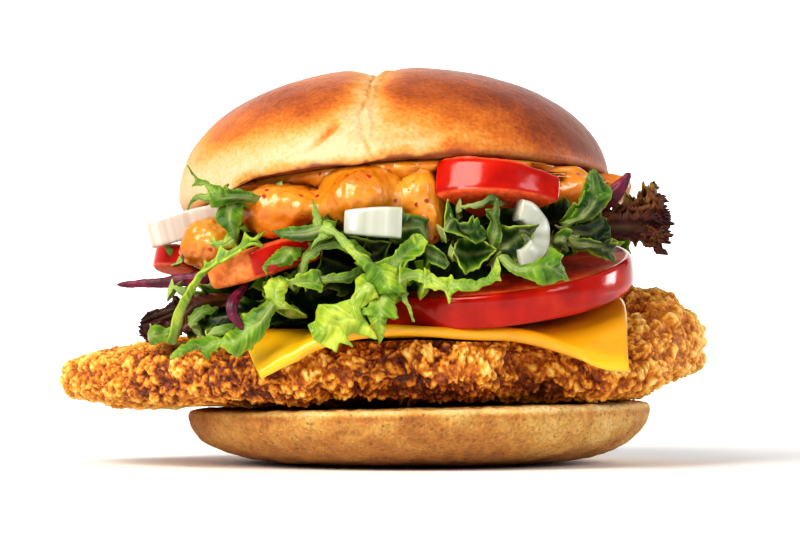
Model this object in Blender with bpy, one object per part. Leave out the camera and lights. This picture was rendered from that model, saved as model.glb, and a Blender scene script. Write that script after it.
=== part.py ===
"""Pork burger: a crumbed pork cutlet in a split bun with cheese, tomato, salad, onion and sauce.

The front of the burger faces -Y and +Z is up. The origin is the middle of the heel bun's flat
underside. Every size and place below is in millimetres, and MM turns it to Blender's metres.
Heights are written from a datum a little under that underside, and place() takes DATUM off them.
"""

import math

import bmesh
import bpy
import numpy as np
from mathutils import Matrix

MM = 0.001
DATUM = 1.1

# Clearances
GAP = 0.5  # how far a neighbour is grown before it is cut out of a soft piece
OVERLAP = 1.5  # how deep a soft piece starts inside a neighbour that then cuts it

# Heel bun
HEEL_RADIUS = 55.0
HEEL_HEIGHT = 15.0
HEEL_FOOT_RADIUS = 26.0
HEEL_SLOPE = 0.019  # the cut face rises to the right

# Crown bun
CROWN_CENTRE = (-5.4, 0.0)
CROWN_RADIUS = 51.5
CROWN_EQUATOR_Z = 66.0
CROWN_DOME = 30.0
CROWN_LEAN = 0.02  # the dome rises to the right
CROWN_TUCK = 14.0  # depth of the bun's lower half, most of which is cut away
CROWN_CUT_Z = 66.0  # the cut face's height at the crown's centre
CROWN_CUT_SLOPE = (0.073, -0.1)  # the cut face rises to the right and to the front
SPLIT_X = -9.5  # the split in the crust runs from front to back
SPLIT_BEND = 0.0019  # how it curves to the left as it comes down the front
SPLIT_LEAN = 0.03  # and leans to the right behind
SPLIT_WIDTH = 4.5
SPLIT_DEPTH = 1.9

# Cutlet
CUTLET_CENTRE = (-9.3, -2.0)
CUTLET_HALF = (77.5, 49.0)
CUTLET_TOP_Z = 31.5
CUTLET_BOTTOM_Z = 14.6
LOBE_CENTRE = (55.5, -4.0)
LOBE_SPREAD = (15.0, 25.0)
LOBE_RISE = 13.5
LOBE_LIFT = 4.5  # how far the lobe's underside rises
NOTCH_ANGLE = -46.0
NOTCH_DEPTH = 0.13

# Cheese slice
CHEESE_CENTRE = (6.0, -12.0)
CHEESE_SIDE = 83.0
CHEESE_THICKNESS = 2.6
CHEESE_Z = 33.2
CHEESE_RISE = 7.5
CHEESE_FRONT_Y = -53.5
CHEESE_FOLD = 13.0  # how much of the front hangs down

# Tomato
LOWER_TOMATO = {"radius": 31.0, "thickness": 8.4, "at": (19.0, -25.0, 44.3), "turn": (12.0, -7.0, 0.0)}
UPPER_TOMATO = {"radius": 21.0, "thickness": 7.6, "at": (17.0, -34.0, 63.5), "turn": (-9.0, 5.0, 0.0)}
NEAR_WEDGE = {"radius": 21.0, "thickness": 7.0, "at": (-34.0, -33.0, 49.4), "turn": (3.0, -14.0, 0.0)}
FAR_WEDGE = {"radius": 15.0, "thickness": 5.6, "at": (-47.5, -14.0, 47.6), "turn": (-6.0, 10.0, 0.0)}

# Onion: arcs of a ring, each a band of this thickness
ONION_THICKNESS = 2.8

GREEN = (0.12, 0.27, 0.03)
RED_LEAF = (0.06, 0.012, 0.012)


# --- shared working ---------------------------------------------------------------------------


def smooth_step(t):
    """0 below 0, 1 above 1, and an S curve between."""
    t = np.clip(t, 0.0, 1.0)
    return t * t * (3.0 - 2.0 * t)


def soft_noise(points, cell, seed):
    """Smooth noise from -1 to 1: random values at the corners of cubes of side cell, blended."""
    scaled = np.asarray(points, float) / cell
    corner = np.floor(scaled).astype(np.int64)
    part = smooth_step(scaled - corner)
    total = np.zeros(scaled.shape[:-1])
    for offset in np.ndindex(2, 2, 2):
        c = corner + offset
        h = (c[..., 0] * 73856093) ^ (c[..., 1] * 19349663) ^ (c[..., 2] * 83492791) ^ (seed * 2654435)
        h = ((h ^ (h >> 13)) * 1274126177) & 0x7FFFFFFF
        weight = np.prod(np.where(np.array(offset) == 1, part, 1.0 - part), axis=-1)
        total += weight * ((h >> 8) % 2048 / 1023.5 - 1.0)
    return total


def ring_angles(count):
    return np.arange(count) * 2.0 * math.pi / count


def material(name, colour, roughness):
    made = bpy.data.materials.get(name)
    if made is None:
        made = bpy.data.materials.new(name)
        made.use_nodes = True
        shader = made.node_tree.nodes["Principled BSDF"]
        shader.inputs["Base Color"].default_value = (*colour, 1.0)
        shader.inputs["Roughness"].default_value = roughness
        shader.inputs["Metallic"].default_value = 0.0
    return made


def place(name, points, faces, finish, at=(0.0, 0.0, 0.0), turn=(0.0, 0.0, 0.0)):
    """Makes an object from points in millimetres, closed and facing out."""
    mesh = bpy.data.meshes.new(name)
    mesh.from_pydata((np.asarray(points) * MM).tolist(), [], faces)
    work = bmesh.new()
    work.from_mesh(mesh)
    bmesh.ops.recalc_face_normals(work, faces=work.faces)
    work.to_mesh(mesh)
    work.free()
    mesh.shade_smooth()
    mesh.materials.append(finish)
    obj = bpy.data.objects.new(name, mesh)
    obj.location = (at[0] * MM, at[1] * MM, (at[2] - DATUM) * MM)
    obj.rotation_euler = [math.radians(v) for v in turn]
    bpy.context.scene.collection.objects.link(obj)
    bpy.context.view_layer.update()
    return obj


def ring_solid(name, rings, finish, **placing):
    """A closed solid from rings of points, from the top one down, with both ends filled to their middles."""
    rings = np.asarray(rings, float)
    count, around = rings.shape[:2]
    points = np.concatenate([rings.reshape(-1, 3), [rings[0].mean(0)], [rings[-1].mean(0)]])
    top, bottom = len(points) - 2, len(points) - 1
    faces = []
    for j in range(around):
        k = (j + 1) % around
        faces.append((top, j, k))
        for i in range(count - 1):
            a, b = i * around, (i + 1) * around
            faces.append((a + j, b + j, b + k, a + k))
        last = (count - 1) * around
        faces.append((bottom, last + k, last + j))
    return place(name, points, faces, finish, **placing)


def sheet_solid(name, grid, thickness, finish):
    """A thin solid round a grid of points: both faces are split into triangles alike, and joined by a rim."""
    rows, columns = grid.shape[:2]
    along = np.gradient(grid, axis=0)
    across = np.gradient(grid, axis=1)
    normal = np.cross(along, across)
    normal /= np.maximum(np.linalg.norm(normal, axis=-1, keepdims=True), 1e-9)
    upper = grid + normal * thickness / 2.0
    lower = grid - normal * thickness / 2.0
    points = np.concatenate([upper.reshape(-1, 3), lower.reshape(-1, 3)])
    below = rows * columns
    faces = []
    for i in range(rows - 1):
        for j in range(columns - 1):
            a, b = i * columns + j, (i + 1) * columns + j
            faces += [(a, b, b + 1), (a, b + 1, a + 1)]
            faces += [(a + below, b + 1 + below, b + below), (a + below, a + 1 + below, b + 1 + below)]
    edge = [(0, j) for j in range(columns - 1)]
    edge += [(i, columns - 1) for i in range(rows - 1)]
    edge += [(rows - 1, j) for j in range(columns - 1, 0, -1)]
    edge += [(i, 0) for i in range(rows - 1, 0, -1)]
    loop = [i * columns + j for i, j in edge]
    for a, b in zip(loop, loop[1:] + loop[:1]):
        faces += [(a, b, b + below), (a, b + below, a + below)]
    return place(name, points, faces, finish)


def bake(obj):
    """Applies the object's modifiers and its place to its mesh."""
    graph = bpy.context.evaluated_depsgraph_get()
    mesh = bpy.data.meshes.new_from_object(obj.evaluated_get(graph))
    mesh.transform(obj.matrix_world)
    obj.modifiers.clear()
    obj.data = mesh
    obj.matrix_world = Matrix.Identity(4)
    bpy.context.view_layer.update()


def keep_largest(obj):
    """Drops the loose scraps that a cut leaves, keeping the piece with most faces."""
    work = bmesh.new()
    work.from_mesh(obj.data)
    bmesh.ops.remove_doubles(work, verts=work.verts, dist=0.002 * MM)
    left, groups = set(work.faces), []
    while left:
        group, edge = set(), [left.pop()]
        while edge:
            face = edge.pop()
            group.add(face)
            near = {f for e in face.edges for f in e.link_faces} & left
            left -= near
            edge += near
        groups.append(group)
    groups.sort(key=len)
    for group in groups[:-1]:
        bmesh.ops.delete(work, geom=list(group), context="FACES")
    work.to_mesh(obj.data)
    work.free()


def combine(obj, others, operation):
    """One Boolean of obj with a collection of others, which are then removed."""
    tools = bpy.data.collections.new("tools")
    bpy.context.scene.collection.children.link(tools)
    for other in others:
        for owner in other.users_collection:
            owner.objects.unlink(other)
        tools.objects.link(other)
    cut = obj.modifiers.new("boolean", "BOOLEAN")
    cut.operation = operation
    cut.operand_type = "COLLECTION"
    cut.collection = tools
    cut.solver = "MANIFOLD"
    bake(obj)
    for other in list(tools.objects):
        bpy.data.objects.remove(other)
    bpy.data.collections.remove(tools)


def grown(obj):
    """A copy of obj, larger by GAP all round."""
    copy = obj.copy()
    copy.data = obj.data.copy()
    copy.hide_render = True
    copy.display_type = "WIRE"
    bpy.context.scene.collection.objects.link(copy)
    bpy.context.view_layer.update()
    bake(copy)
    swell = copy.modifiers.new("swell", "DISPLACE")
    swell.direction = "NORMAL"
    swell.mid_level = 0.0
    swell.strength = GAP * MM
    bake(copy)
    return copy


def carve(obj, neighbours):
    """Cuts the grown neighbours out of obj and drops the scraps."""
    combine(obj, [grown(n) for n in neighbours], "DIFFERENCE")
    keep_largest(obj)


# --- buns -------------------------------------------------------------------------------------


def heel_cut_z(x):
    return HEEL_HEIGHT + HEEL_SLOPE * x


def heel_bun():
    """A shallow bowl: a flat foot, a side that is a superellipse's quarter, and a level cut face."""
    angle = ring_angles(38)
    reach = 1.0 + 0.008 * np.sin(2 * angle + 0.6) + 0.006 * np.sin(3 * angle + 2.0)
    profile = [(0.5, 1.0), (0.955, 1.0), (0.99, 0.955), (1.0, 0.9)]
    for turn in np.linspace(0.14, 0.86, 4) * math.pi / 2:
        profile.append((math.cos(turn) ** 0.42, 0.9 * (1.0 - math.sin(turn))))
    foot = HEEL_FOOT_RADIUS / HEEL_RADIUS
    profile += [(foot, 0.0), (foot / 2, 0.0)]
    rings = []
    for radius, height in profile:
        x = HEEL_RADIUS * radius * reach * np.cos(angle)
        y = HEEL_RADIUS * radius * reach * np.sin(angle)
        rings.append(np.stack([x, y, DATUM + (heel_cut_z(x) - DATUM) * height], -1))
    return ring_solid("heel_bun", rings, material("toasted_bread", (0.62, 0.33, 0.11), 0.7))


def crown_cut_z(x, y):
    """The cut face's plane."""
    across, deep = CROWN_CUT_SLOPE
    return CROWN_CUT_Z + across * (x - CROWN_CENTRE[0]) + deep * (y - CROWN_CENTRE[1])


def crown_profile(turn):
    """(radius share, height) at a turn from 0 at the top to pi below: a full dome over a flatter half."""
    lean = np.sin(turn)
    upper = np.stack([np.abs(lean) ** (2 / 2.2), CROWN_EQUATOR_Z + CROWN_DOME * np.cos(turn)], -1)
    lower = np.stack([np.abs(lean) ** 0.75, CROWN_EQUATOR_Z + CROWN_TUCK * np.cos(turn)], -1)
    return np.where((turn < math.pi / 2)[..., None], upper, lower)


def split_x(y):
    """The split's place across, at a depth y."""
    return SPLIT_X - SPLIT_BEND * np.minimum(y, 0.0) ** 2 + SPLIT_LEAN * np.maximum(y, 0.0)


def crown_bun():
    """The domed half: each meridian runs from the top to the slanted cut face, and a split sinks into it."""
    angle = ring_angles(40)
    edge_x = CROWN_CENTRE[0] + CROWN_RADIUS * np.cos(angle)
    edge_z = crown_cut_z(edge_x, CROWN_CENTRE[1] + CROWN_RADIUS * np.sin(angle))
    over = np.clip((edge_z - CROWN_EQUATOR_Z) / CROWN_DOME, 0.0, 1.0)
    under = np.clip((CROWN_EQUATOR_Z - edge_z) / CROWN_TUCK, 0.0, 1.0)
    last = np.where(edge_z > CROWN_EQUATOR_Z, np.arccos(over), math.pi / 2 + np.arcsin(under))
    reach = 1.0 + 0.008 * np.sin(2 * angle + 1.0) + 0.006 * np.sin(3 * angle)
    rings = []
    for share in np.linspace(0.09, 1.0, 11) ** 0.9:
        form = crown_profile(last * share)
        x = CROWN_CENTRE[0] + CROWN_RADIUS * form[:, 0] * reach * np.cos(angle)
        y = CROWN_CENTRE[1] + CROWN_RADIUS * form[:, 0] * reach * np.sin(angle)
        away = (x - split_x(y)) / SPLIT_WIDTH
        sink = SPLIT_DEPTH * np.exp(-away * away)
        steep = np.sqrt(np.clip(np.cos(last * share), 0.0, 1.0))
        lean = CROWN_LEAN * (x - CROWN_CENTRE[0])
        rings.append(np.stack([x, y, form[:, 1] + lean - sink * steep], -1))
    rings[-1][:, 2] = crown_cut_z(rings[-1][:, 0], rings[-1][:, 1])
    for share in (0.97, 0.5):
        inner = rings[10].copy()
        inner[:, 0] = CROWN_CENTRE[0] + (inner[:, 0] - CROWN_CENTRE[0]) * share
        inner[:, 1] = CROWN_CENTRE[1] + (inner[:, 1] - CROWN_CENTRE[1]) * share
        inner[:, 2] = crown_cut_z(inner[:, 0], inner[:, 1]) - 0.3
        rings.append(inner)
    return ring_solid("crown_bun", rings, material("glazed_crust", (0.55, 0.22, 0.05), 0.35))


# --- cheese and cutlet ------------------------------------------------------------------------


def cheese_rest_z(x, y):
    """The slice's top face before its front hangs: level, and rising to the right where the cutlet does."""
    rise = smooth_step((x - 15.0) / 32.0) * smooth_step((y + 52.0) / 30.0)
    return CHEESE_Z + CHEESE_RISE * rise


def cheese_front_z(x):
    """The height of the hanging front edge: lowest at its two corners."""
    right = 1.2 * smooth_step((x + 4.0) / 18.0) + 6.0 * smooth_step((x - 18.0) / 26.0)
    left = 8.5 * np.exp(-(((np.maximum(x + 35.5, 0.0)) / 14.0) ** 1.2))
    return 31.0 - right - left


def cheese_top_z(x, y):
    hang = (1.0 - np.clip((y - CHEESE_FRONT_Y) / CHEESE_FOLD, 0.0, 1.0)) ** 2
    rest = cheese_rest_z(x, y)
    return rest - (cheese_rest_z(x, CHEESE_FRONT_Y) - cheese_front_z(x)) * hang


def cheese_slice():
    """A square sheet whose front edge hangs over the cutlet."""
    across = np.linspace(-0.5, 0.5, 12) * CHEESE_SIDE + CHEESE_CENTRE[0]
    deep = CHEESE_FRONT_Y + CHEESE_SIDE * np.linspace(0.0, 1.0, 10) ** 1.5
    x, y = np.meshgrid(across, deep, indexing="ij")
    y = y + 1.2 * np.sin((x + 4.0) / 13.0) * (1.0 - (y - CHEESE_FRONT_Y) / CHEESE_SIDE)
    top = np.stack([x, y, cheese_top_z(x, y)], -1)
    slope = np.cross(np.gradient(top, axis=0), np.gradient(top, axis=1))
    slope /= np.linalg.norm(slope, axis=-1, keepdims=True)
    middle = top - slope * CHEESE_THICKNESS / 2.0
    finish = material("sliced_cheese", (0.83, 0.42, 0.012), 0.3)
    return sheet_solid("cheese_slice", middle, CHEESE_THICKNESS, finish)


def cutlet_bounds(x, y):
    """(top, bottom) heights of the crumbed cutlet's middle surface at a place in plan."""
    lobe_x, lobe_y = (x - LOBE_CENTRE[0]) / LOBE_SPREAD[0], (y - LOBE_CENTRE[1]) / LOBE_SPREAD[1]
    lobe = np.exp(-((lobe_x**2 + lobe_y**2) ** 1.5))
    top = CUTLET_TOP_Z - 1.0 * smooth_step((-x - 50.0) / 25.0) + LOBE_RISE * lobe
    bottom = CUTLET_BOTTOM_Z + LOBE_LIFT * smooth_step((x - 48.0) / 20.0)
    bottom = bottom - 0.8 * smooth_step((-x - 52.0) / 15.0)
    return top, bottom


def cutlet_reach(angle):
    """The plan outline's distance from the centre: an uneven oval with a tapered left end and a notch."""
    x, y = np.cos(angle), np.sin(angle)
    power = 2.3
    oval = (np.abs(x / CUTLET_HALF[0]) ** power + np.abs(y / CUTLET_HALF[1]) ** power) ** (-1 / power)
    uneven = 1.0 + 0.02 * np.sin(5 * angle + 1.0) + 0.015 * np.sin(9 * angle)
    notch = math.radians(NOTCH_ANGLE)
    away = (angle - notch + math.pi) % (2 * math.pi) - math.pi
    return oval * uneven * (1.0 - NOTCH_DEPTH * np.exp(-((away / 0.16) ** 2)))


def pork_cutlet():
    """Rings swept over a thick rounded edge, with the crumb coating's large crags as relief."""
    angle = ring_angles(42)
    reach = cutlet_reach(angle)
    rings = []
    for turn in np.linspace(0.1, 0.93, 11) * math.pi:
        out, up = abs(math.sin(turn)) ** 0.45, math.copysign(abs(math.cos(turn)) ** 0.5, math.cos(turn))
        x = CUTLET_CENTRE[0] + reach * out * np.cos(angle)
        y = CUTLET_CENTRE[1] + reach * out * np.sin(angle)
        y = y * (1.0 - 0.3 * smooth_step((-x - 50.0) / 36.0))
        top, bottom = cutlet_bounds(x, y)
        z = (top + bottom) / 2.0 + up * (top - bottom) / 2.0
        ring = np.stack([x, y, z], -1)
        crag = 1.1 * soft_noise(ring, 9.0, 3) + 0.8 * soft_noise(ring, 5.0, 4)
        away = np.stack([np.cos(angle) * out**6, np.sin(angle) * out**6, np.full_like(x, 0.7 * up)], -1)
        rings.append(ring + away * crag[:, None])
    return ring_solid("pork_cutlet", rings, material("fried_crumb", (0.6, 0.24, 0.05), 0.5))


# --- tomato, onion and shreds -----------------------------------------------------------------


def tomato_disc(name, radius, thickness, at, turn):
    """A slice right across a tomato: the skin swells between the two cut faces."""
    angle = ring_angles(30)
    reach = radius * (1.0 + 0.012 * np.sin(2 * angle) + 0.01 * np.sin(5 * angle + 1.0))
    profile = ((0.5, 0.5), (0.955, 0.5), (0.99, 0.3), (1.0, 0.0), (0.985, -0.3), (0.945, -0.5), (0.5, -0.5))
    rings = []
    for share, height in profile:
        z = np.full_like(angle, thickness * height)
        rings.append(np.stack([reach * share * np.cos(angle), reach * share * np.sin(angle), z], -1))
    return ring_solid(name, rings, material("tomato", (0.6, 0.02, 0.01), 0.25), at=at, turn=turn)


def tomato_piece(name, radius, thickness, at, turn, first, last, core=0.25):
    """Part of a slice, between two angles: an arc of skin and straight cuts."""
    arc = np.radians(np.linspace(first, last, 13))
    outline = [(math.cos(a), math.sin(a)) for a in arc]
    middle = math.radians((first + last) / 2)
    outline += [(core * math.cos(a), core * math.sin(a)) for a in (arc[-1], middle, arc[0])]
    outline = np.array(outline) * radius
    inner = outline.mean(0)
    rings = []
    for share, height in ((0.9, 0.5), (0.98, 0.4), (1.0, 0.0), (0.98, -0.4), (0.9, -0.5)):
        flat = inner + (outline - inner) * share
        rings.append(np.column_stack([flat, np.full(len(flat), thickness * height)]))
    return ring_solid(name, rings, material("tomato", (0.6, 0.02, 0.01), 0.25), at=at, turn=turn)


def onion_band(name, radius, height, sweep, at, turn):
    """An arc of an onion ring: a band with rounded edges, swept through an angle and facing -Y."""
    stations = np.radians(np.linspace(-sweep / 2, sweep / 2, 10) - 90.0)
    half, edge = ONION_THICKNESS / 2, height / 2
    section = [(half, edge - 0.8), (half - 0.8, edge), (0.8 - half, edge), (-half, edge - 0.8)]
    section += [(-r, -z) for r, z in section]
    rings = []
    for a in stations:
        rings.append([((radius + r) * math.cos(a), (radius + r) * math.sin(a), z) for r, z in section])
    return ring_solid(name, rings, material("raw_onion", (0.85, 0.83, 0.72), 0.25), at=at, turn=turn)


def smooth_path(points, t):
    """Points at t from 0 to 1 along a Catmull-Rom curve through the given ones."""
    points = np.asarray(points, float)
    held = np.concatenate([[2 * points[0] - points[1]], points, [2 * points[-1] - points[-2]]])
    place_on = np.clip(t, 0.0, 1.0) * (len(points) - 1)
    i = np.minimum(place_on.astype(int), len(points) - 2)
    f = (place_on - i)[:, None]
    a, b, c, d = held[i], held[i + 1], held[i + 2], held[i + 3]
    return 0.5 * (2 * b + (c - a) * f + (2 * a - 5 * b + 4 * c - d) * f**2 + (3 * b - a - 3 * c + d) * f**3)


# The routes of the three cabbage shreds
LONG_SHRED = ((-67.5, -30, 43.4), (-58, -34, 43.7), (-47, -38, 45.0))
SHORT_SHRED = ((-38.4, -50, 43.0), (-41.2, -56, 39.0), (-41.0, -57, 36.0), (-38.6, -57.5, 32.6))
RIGHT_SHRED = ((41, -22, 60.5), (45.5, -25, 64.6), (49.3, -25, 69.4))


def shred(name, route, widths, finish):
    """A tapering strip of flattened section along a route."""
    t = np.linspace(0.0, 1.0, 9)
    line = smooth_path(route, t)
    width = np.interp(t, np.linspace(0.0, 1.0, len(widths)), widths)
    along = np.gradient(line, axis=0)
    along /= np.linalg.norm(along, axis=1, keepdims=True)
    side = np.cross(along, (0.0, 1.0, 0.0))
    side /= np.linalg.norm(side, axis=1, keepdims=True)
    third = np.cross(side, along)
    angle = ring_angles(7)
    offset = side[:, None] * np.cos(angle)[:, None] + 0.6 * third[:, None] * np.sin(angle)[:, None]
    return ring_solid(name, line[:, None] + offset * width[:, None, None] / 2, finish)


# --- sauce ------------------------------------------------------------------------------------

SAUCE_DEPTH = 7.0  # the layer's underside, below the crown's cut face

# Each dollop is (centre, half sizes)
DOLLOPS = (
    ((-30.5, -40.0, 60.0), (11.0, 9.0, 6.0)),
    ((-12.6, -44.0, 61.8), (10.2, 11.0, 8.0)),
    ((0.6, -43.0, 61.6), (6.2, 8.5, 7.2)),
    ((35.0, -34.0, 64.6), (7.5, 8.0, 5.6)),
    ((44.5, -14.0, 66.3), (5.0, 7.0, 4.2)),
    ((2.0, -44.5, 56.4), (4.5, 6.0, 4.5)),
    ((-42.0, 14.0, 58.0), (8.0, 10.0, 6.0)),
    ((-18.0, 37.0, 57.5), (12.0, 8.0, 6.0)),
    ((28.0, 31.0, 60.0), (10.0, 9.0, 5.5)),
)


def ball(name, centre, half, around, levels, finish):
    """A stretched sphere, slightly uneven."""
    angle = ring_angles(around)
    rings = []
    for turn in np.linspace(0.0, math.pi, levels + 2)[1:-1]:
        level = np.full(around, np.cos(turn))
        unit = np.stack([np.sin(turn) * np.cos(angle), np.sin(turn) * np.sin(angle), level], -1)
        ring = np.array(centre) + unit * half
        rings.append(ring + unit * (0.5 * soft_noise(ring, 6.0, 8))[:, None])
    return ring_solid(name, rings, finish)


def sauce():
    """A layer spread under the crown, with dollops that swell out of it."""
    finish = material("chilli_sauce", (0.8, 0.25, 0.02), 0.2)
    angle = ring_angles(26)
    reach = 1.0 + 0.03 * np.sin(4 * angle) + 0.025 * np.sin(7 * angle + 1.0)
    profile = [(0.5, -OVERLAP), (0.93, -OVERLAP), (1.0, 2.0), (0.96, 5.4)]
    profile += [(0.8, SAUCE_DEPTH), (0.4, SAUCE_DEPTH)]
    rings = []
    for share, depth in profile:
        x = CROWN_CENTRE[0] + 44.0 * share * reach * np.cos(angle)
        y = 43.0 * share * reach * np.sin(angle)
        rings.append(np.stack([x, y, crown_cut_z(x, y) - depth], -1))
    layer = ring_solid("sauce", rings, finish)
    blobs = [ball(f"dollop_{i}", c, np.array(h), 9, 5, finish) for i, (c, h) in enumerate(DOLLOPS)]
    combine(layer, blobs, "UNION")
    return layer


# --- salad ------------------------------------------------------------------------------------


def leaf_grid(route, side, width, rows, columns, fan=0.0, stem=0.12, roll=0.3, ruffle=1.2, waves=3.0,
              teeth=0.5, count=5, seed=0):
    """A leaf's middle surface. Its midrib follows route, and side is the way across it.

    Across the midrib the blade is an arc of half angle roll, to either side. Its half width grows
    from the stem and closes at a tip, or opens to a rounded end where fan is 1. Teeth are triangular
    waves on the outline, and the ruffle is a sine wave that grows with the distance from the midrib.
    """
    u = np.linspace(0.0, 1.0, rows)
    v = np.linspace(-1.0, 1.0, columns)
    line = smooth_path(route, u)
    along = np.gradient(line, axis=0)
    along /= np.linalg.norm(along, axis=1, keepdims=True)
    across = np.asarray(side, float) - along * (along @ np.asarray(side, float))[:, None]
    across /= np.linalg.norm(across, axis=1, keepdims=True)
    up = np.cross(along, across)
    closed = np.sin(math.pi * np.minimum(u, 0.995) ** 1.25) ** 0.8
    half = width * ((1.0 - fan) * closed + fan * u**0.8 + stem * (1.0 - u)) + 0.25
    chance = np.random.default_rng(seed)
    heights = chance.uniform(0.35, 1.0, (2, count + 2))
    where = u * count
    saw = 1.0 - np.abs(2.0 * (where % 1.0) - 1.0)
    tooth = heights[:, where.astype(int)] * saw
    tooth = np.where(v[None, :] < 0.0, tooth[0][:, None], tooth[1][:, None])
    uu, vv = np.meshgrid(u, v, indexing="ij")
    arc = half[:, None] * vv * (1.0 + teeth * tooth * vv**2)
    bend = roll / (width + 0.5)
    wave = np.sin(2 * math.pi * (waves * uu + chance.uniform()) + 1.3 * vv)
    fan_wave = np.sin(2 * math.pi * (waves * vv * 0.5 + chance.uniform()) + 2.0 * uu)
    lift = ruffle * ((1.0 - fan) * np.abs(vv) ** 1.6 * wave * closed[:, None] + fan * uu**1.6 * fan_wave)
    shorten = -0.28 * fan * width * uu**3 * vv**2
    notch = fan * teeth * width * 0.5 * uu**6 * np.abs((vv * count / 2.0) % 1.0 - 0.5)
    return (
        line[:, None]
        + across[:, None] * (np.sin(arc * bend) / bend)[..., None]
        + up[:, None] * ((1.0 - np.cos(arc * bend)) / bend + lift)[..., None]
        + along[:, None] * (shorten + notch)[..., None]
    )


LEAF_THICKNESS = 0.9

# Leaves fused to the heap: the route of the midrib from inside the heap, the way across it,
# the half width, and what differs from leaf_grid's defaults.
HEAP_LEAVES = (
    # the big pale leaf at the front and its two wings
    (((-12, -34, 50), (-19, -55, 56), (-13, -60, 49), (-7.5, -61, 41), (-7.5, -60, 30)), (1, 0.2, 0.5), 6.5,
     {"teeth": 0.7, "count": 5, "seed": 1, "roll": -0.4}),
    (((-6, -36, 46), (-7, -57, 43), (-15, -61, 38), (-21, -60, 33), (-23, -58, 26.5)), (-0.4, 0.1, -1), 7.0,
     {"teeth": 0.5, "count": 5, "seed": 2, "roll": -0.7}),
    (((-6, -36, 48), (-5, -56, 47), (1, -59, 51.5), (0, -56, 57), (-5, -51, 58)), (0.4, 0.3, -1), 4.5,
     {"teeth": 0.3, "seed": 3, "roll": -0.9}),
    # the blade above it, on the left
    (((-22, -34, 53), (-21, -55, 55.5), (-26.5, -57, 53.5), (-33, -55, 54.5)), (0.1, 0.2, 1), 2.6,
     {"teeth": 1.4, "count": 3, "seed": 4, "ruffle": 0.6}),
    # curled leaves in the hollow on the left of the middle
    (((-18, -34, 48), (-18, -50, 48), (-17, -56, 47.5)), (1, 0, 0.3), 6.5,
     {"fan": 1.0, "roll": 1.5, "teeth": 0.2, "seed": 5, "ruffle": 0.7}),
    (((-26, -34, 44), (-27, -48, 44), (-27.5, -56, 43)), (1, 0, -0.2), 6.0,
     {"fan": 1.0, "roll": 1.3, "teeth": 0.4, "seed": 6}),
    # the long leaf that falls to the left over the cutlet
    (((-24, -34, 46), (-31, -53, 43), (-35, -58, 35), (-45, -57, 32), (-56, -50, 27)), (0.2, 0.3, 1), 5.5,
     {"teeth": 0.7, "count": 5, "seed": 7}),
    (((-28, -36, 42), (-36, -54, 37), (-42, -57, 31.5), (-46.5, -57, 26)), (0.6, 0.2, 0.5), 4.0,
     {"teeth": 0.7, "count": 3, "seed": 13, "roll": -0.3}),
    (((-30, -30, 40), (-42, -46, 37.5), (-52, -44, 35), (-60, -38, 32)), (0.2, 0.4, 1), 3.6,
     {"teeth": 0.8, "count": 4, "seed": 19}),
    (((-24, -32, 50), (-30, -52, 49.5), (-35, -54, 47)), (0.3, 0.2, 1), 3.2,
     {"teeth": 0.4, "count": 3, "seed": 20}),
    # the cup and the frilly leaf to the right of the middle
    (((14, -32, 51), (13.5, -48, 51), (12, -57, 50)), (1, 0, 0), 6.0,
     {"fan": 1.0, "roll": 1.6, "teeth": 0.2, "seed": 8, "ruffle": 0.5}),
    (((4, -34, 54), (6, -54, 55.5), (14, -57, 56), (22, -57, 55.5), (28, -55, 56)), (0, 0.3, 1), 4.6,
     {"teeth": 0.8, "count": 5, "seed": 9, "roll": -0.4}),
    # the two leaves that lie on the big tomato slice
    (((4, -34, 50), (-2, -55, 46), (7, -59, 44), (15, -59, 44.5), (18, -55, 49)), (0, 0.5, 1), 2.8,
     {"teeth": 0.7, "count": 5, "seed": 10, "roll": -0.3}),
    (((22, -30, 53), (20, -50, 49), (26, -55, 47.5), (33, -52, 46.5)), (0.3, 0.6, 1), 4.2,
     {"teeth": 0.6, "count": 4, "seed": 11, "roll": -0.3}),
    # right
    (((28, -28, 54), (33, -44, 54), (39, -44, 53), (46, -36, 51)), (0.1, 0.4, 1), 4.4,
     {"teeth": 0.6, "count": 4, "seed": 12}),
)

# Leaves round the sides and the back follow a rule: every SPACING degrees, one that rises or falls
BACK_FROM, BACK_TO, BACK_SPACING = 20.0, 205.0, 22.5


def back_leaf(angle, chance):
    """The route, side and half width of a leaf that leaves the heap at an angle in plan."""
    a = math.radians(angle)
    out = np.array([math.cos(a), math.sin(a), 0.0])
    turn = np.array([-math.sin(a), math.cos(a), 0.0])
    high = chance.uniform(47.0, 55.0)
    fall = chance.uniform(2.0, 9.0)
    reach = chance.uniform(50.0, 55.0)
    route = [out * 30 + (0, 0, high), out * (reach - 8) + turn * 2 + (0, 0, high)]
    route.append(out * reach + (0, 0, high - fall))
    return route, turn + (0, 0, chance.uniform(-0.5, 0.5)), chance.uniform(8.0, 10.0)


def salad_core():
    """The bulk of the heap, which the leaves stand out of: it fills the height from cheese to sauce."""
    angle = ring_angles(22)
    profile = ((0.5, 1.0), (0.85, 1.0), (0.98, 0.8), (1.0, 0.5), (0.95, 0.22), (0.85, 0.0), (0.4, 0.0))
    rings = []
    for share, height in profile:
        x = -1.0 + 42.5 * share * np.cos(angle)
        y = 0.5 + 40.0 * share * np.sin(angle)
        top = crown_cut_z(x, y) - SAUCE_DEPTH - GAP
        bottom = cheese_rest_z(x, y) + GAP
        ring = np.stack([x, y, bottom + (top - bottom) * height], -1)
        bump = 1.0 + 0.06 * soft_noise(ring, 9.0, 12)
        rings.append(ring * np.stack([bump, bump, np.ones_like(bump)], -1))
    return ring_solid("salad_heap", rings, material("lettuce", GREEN, 0.4))


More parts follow.
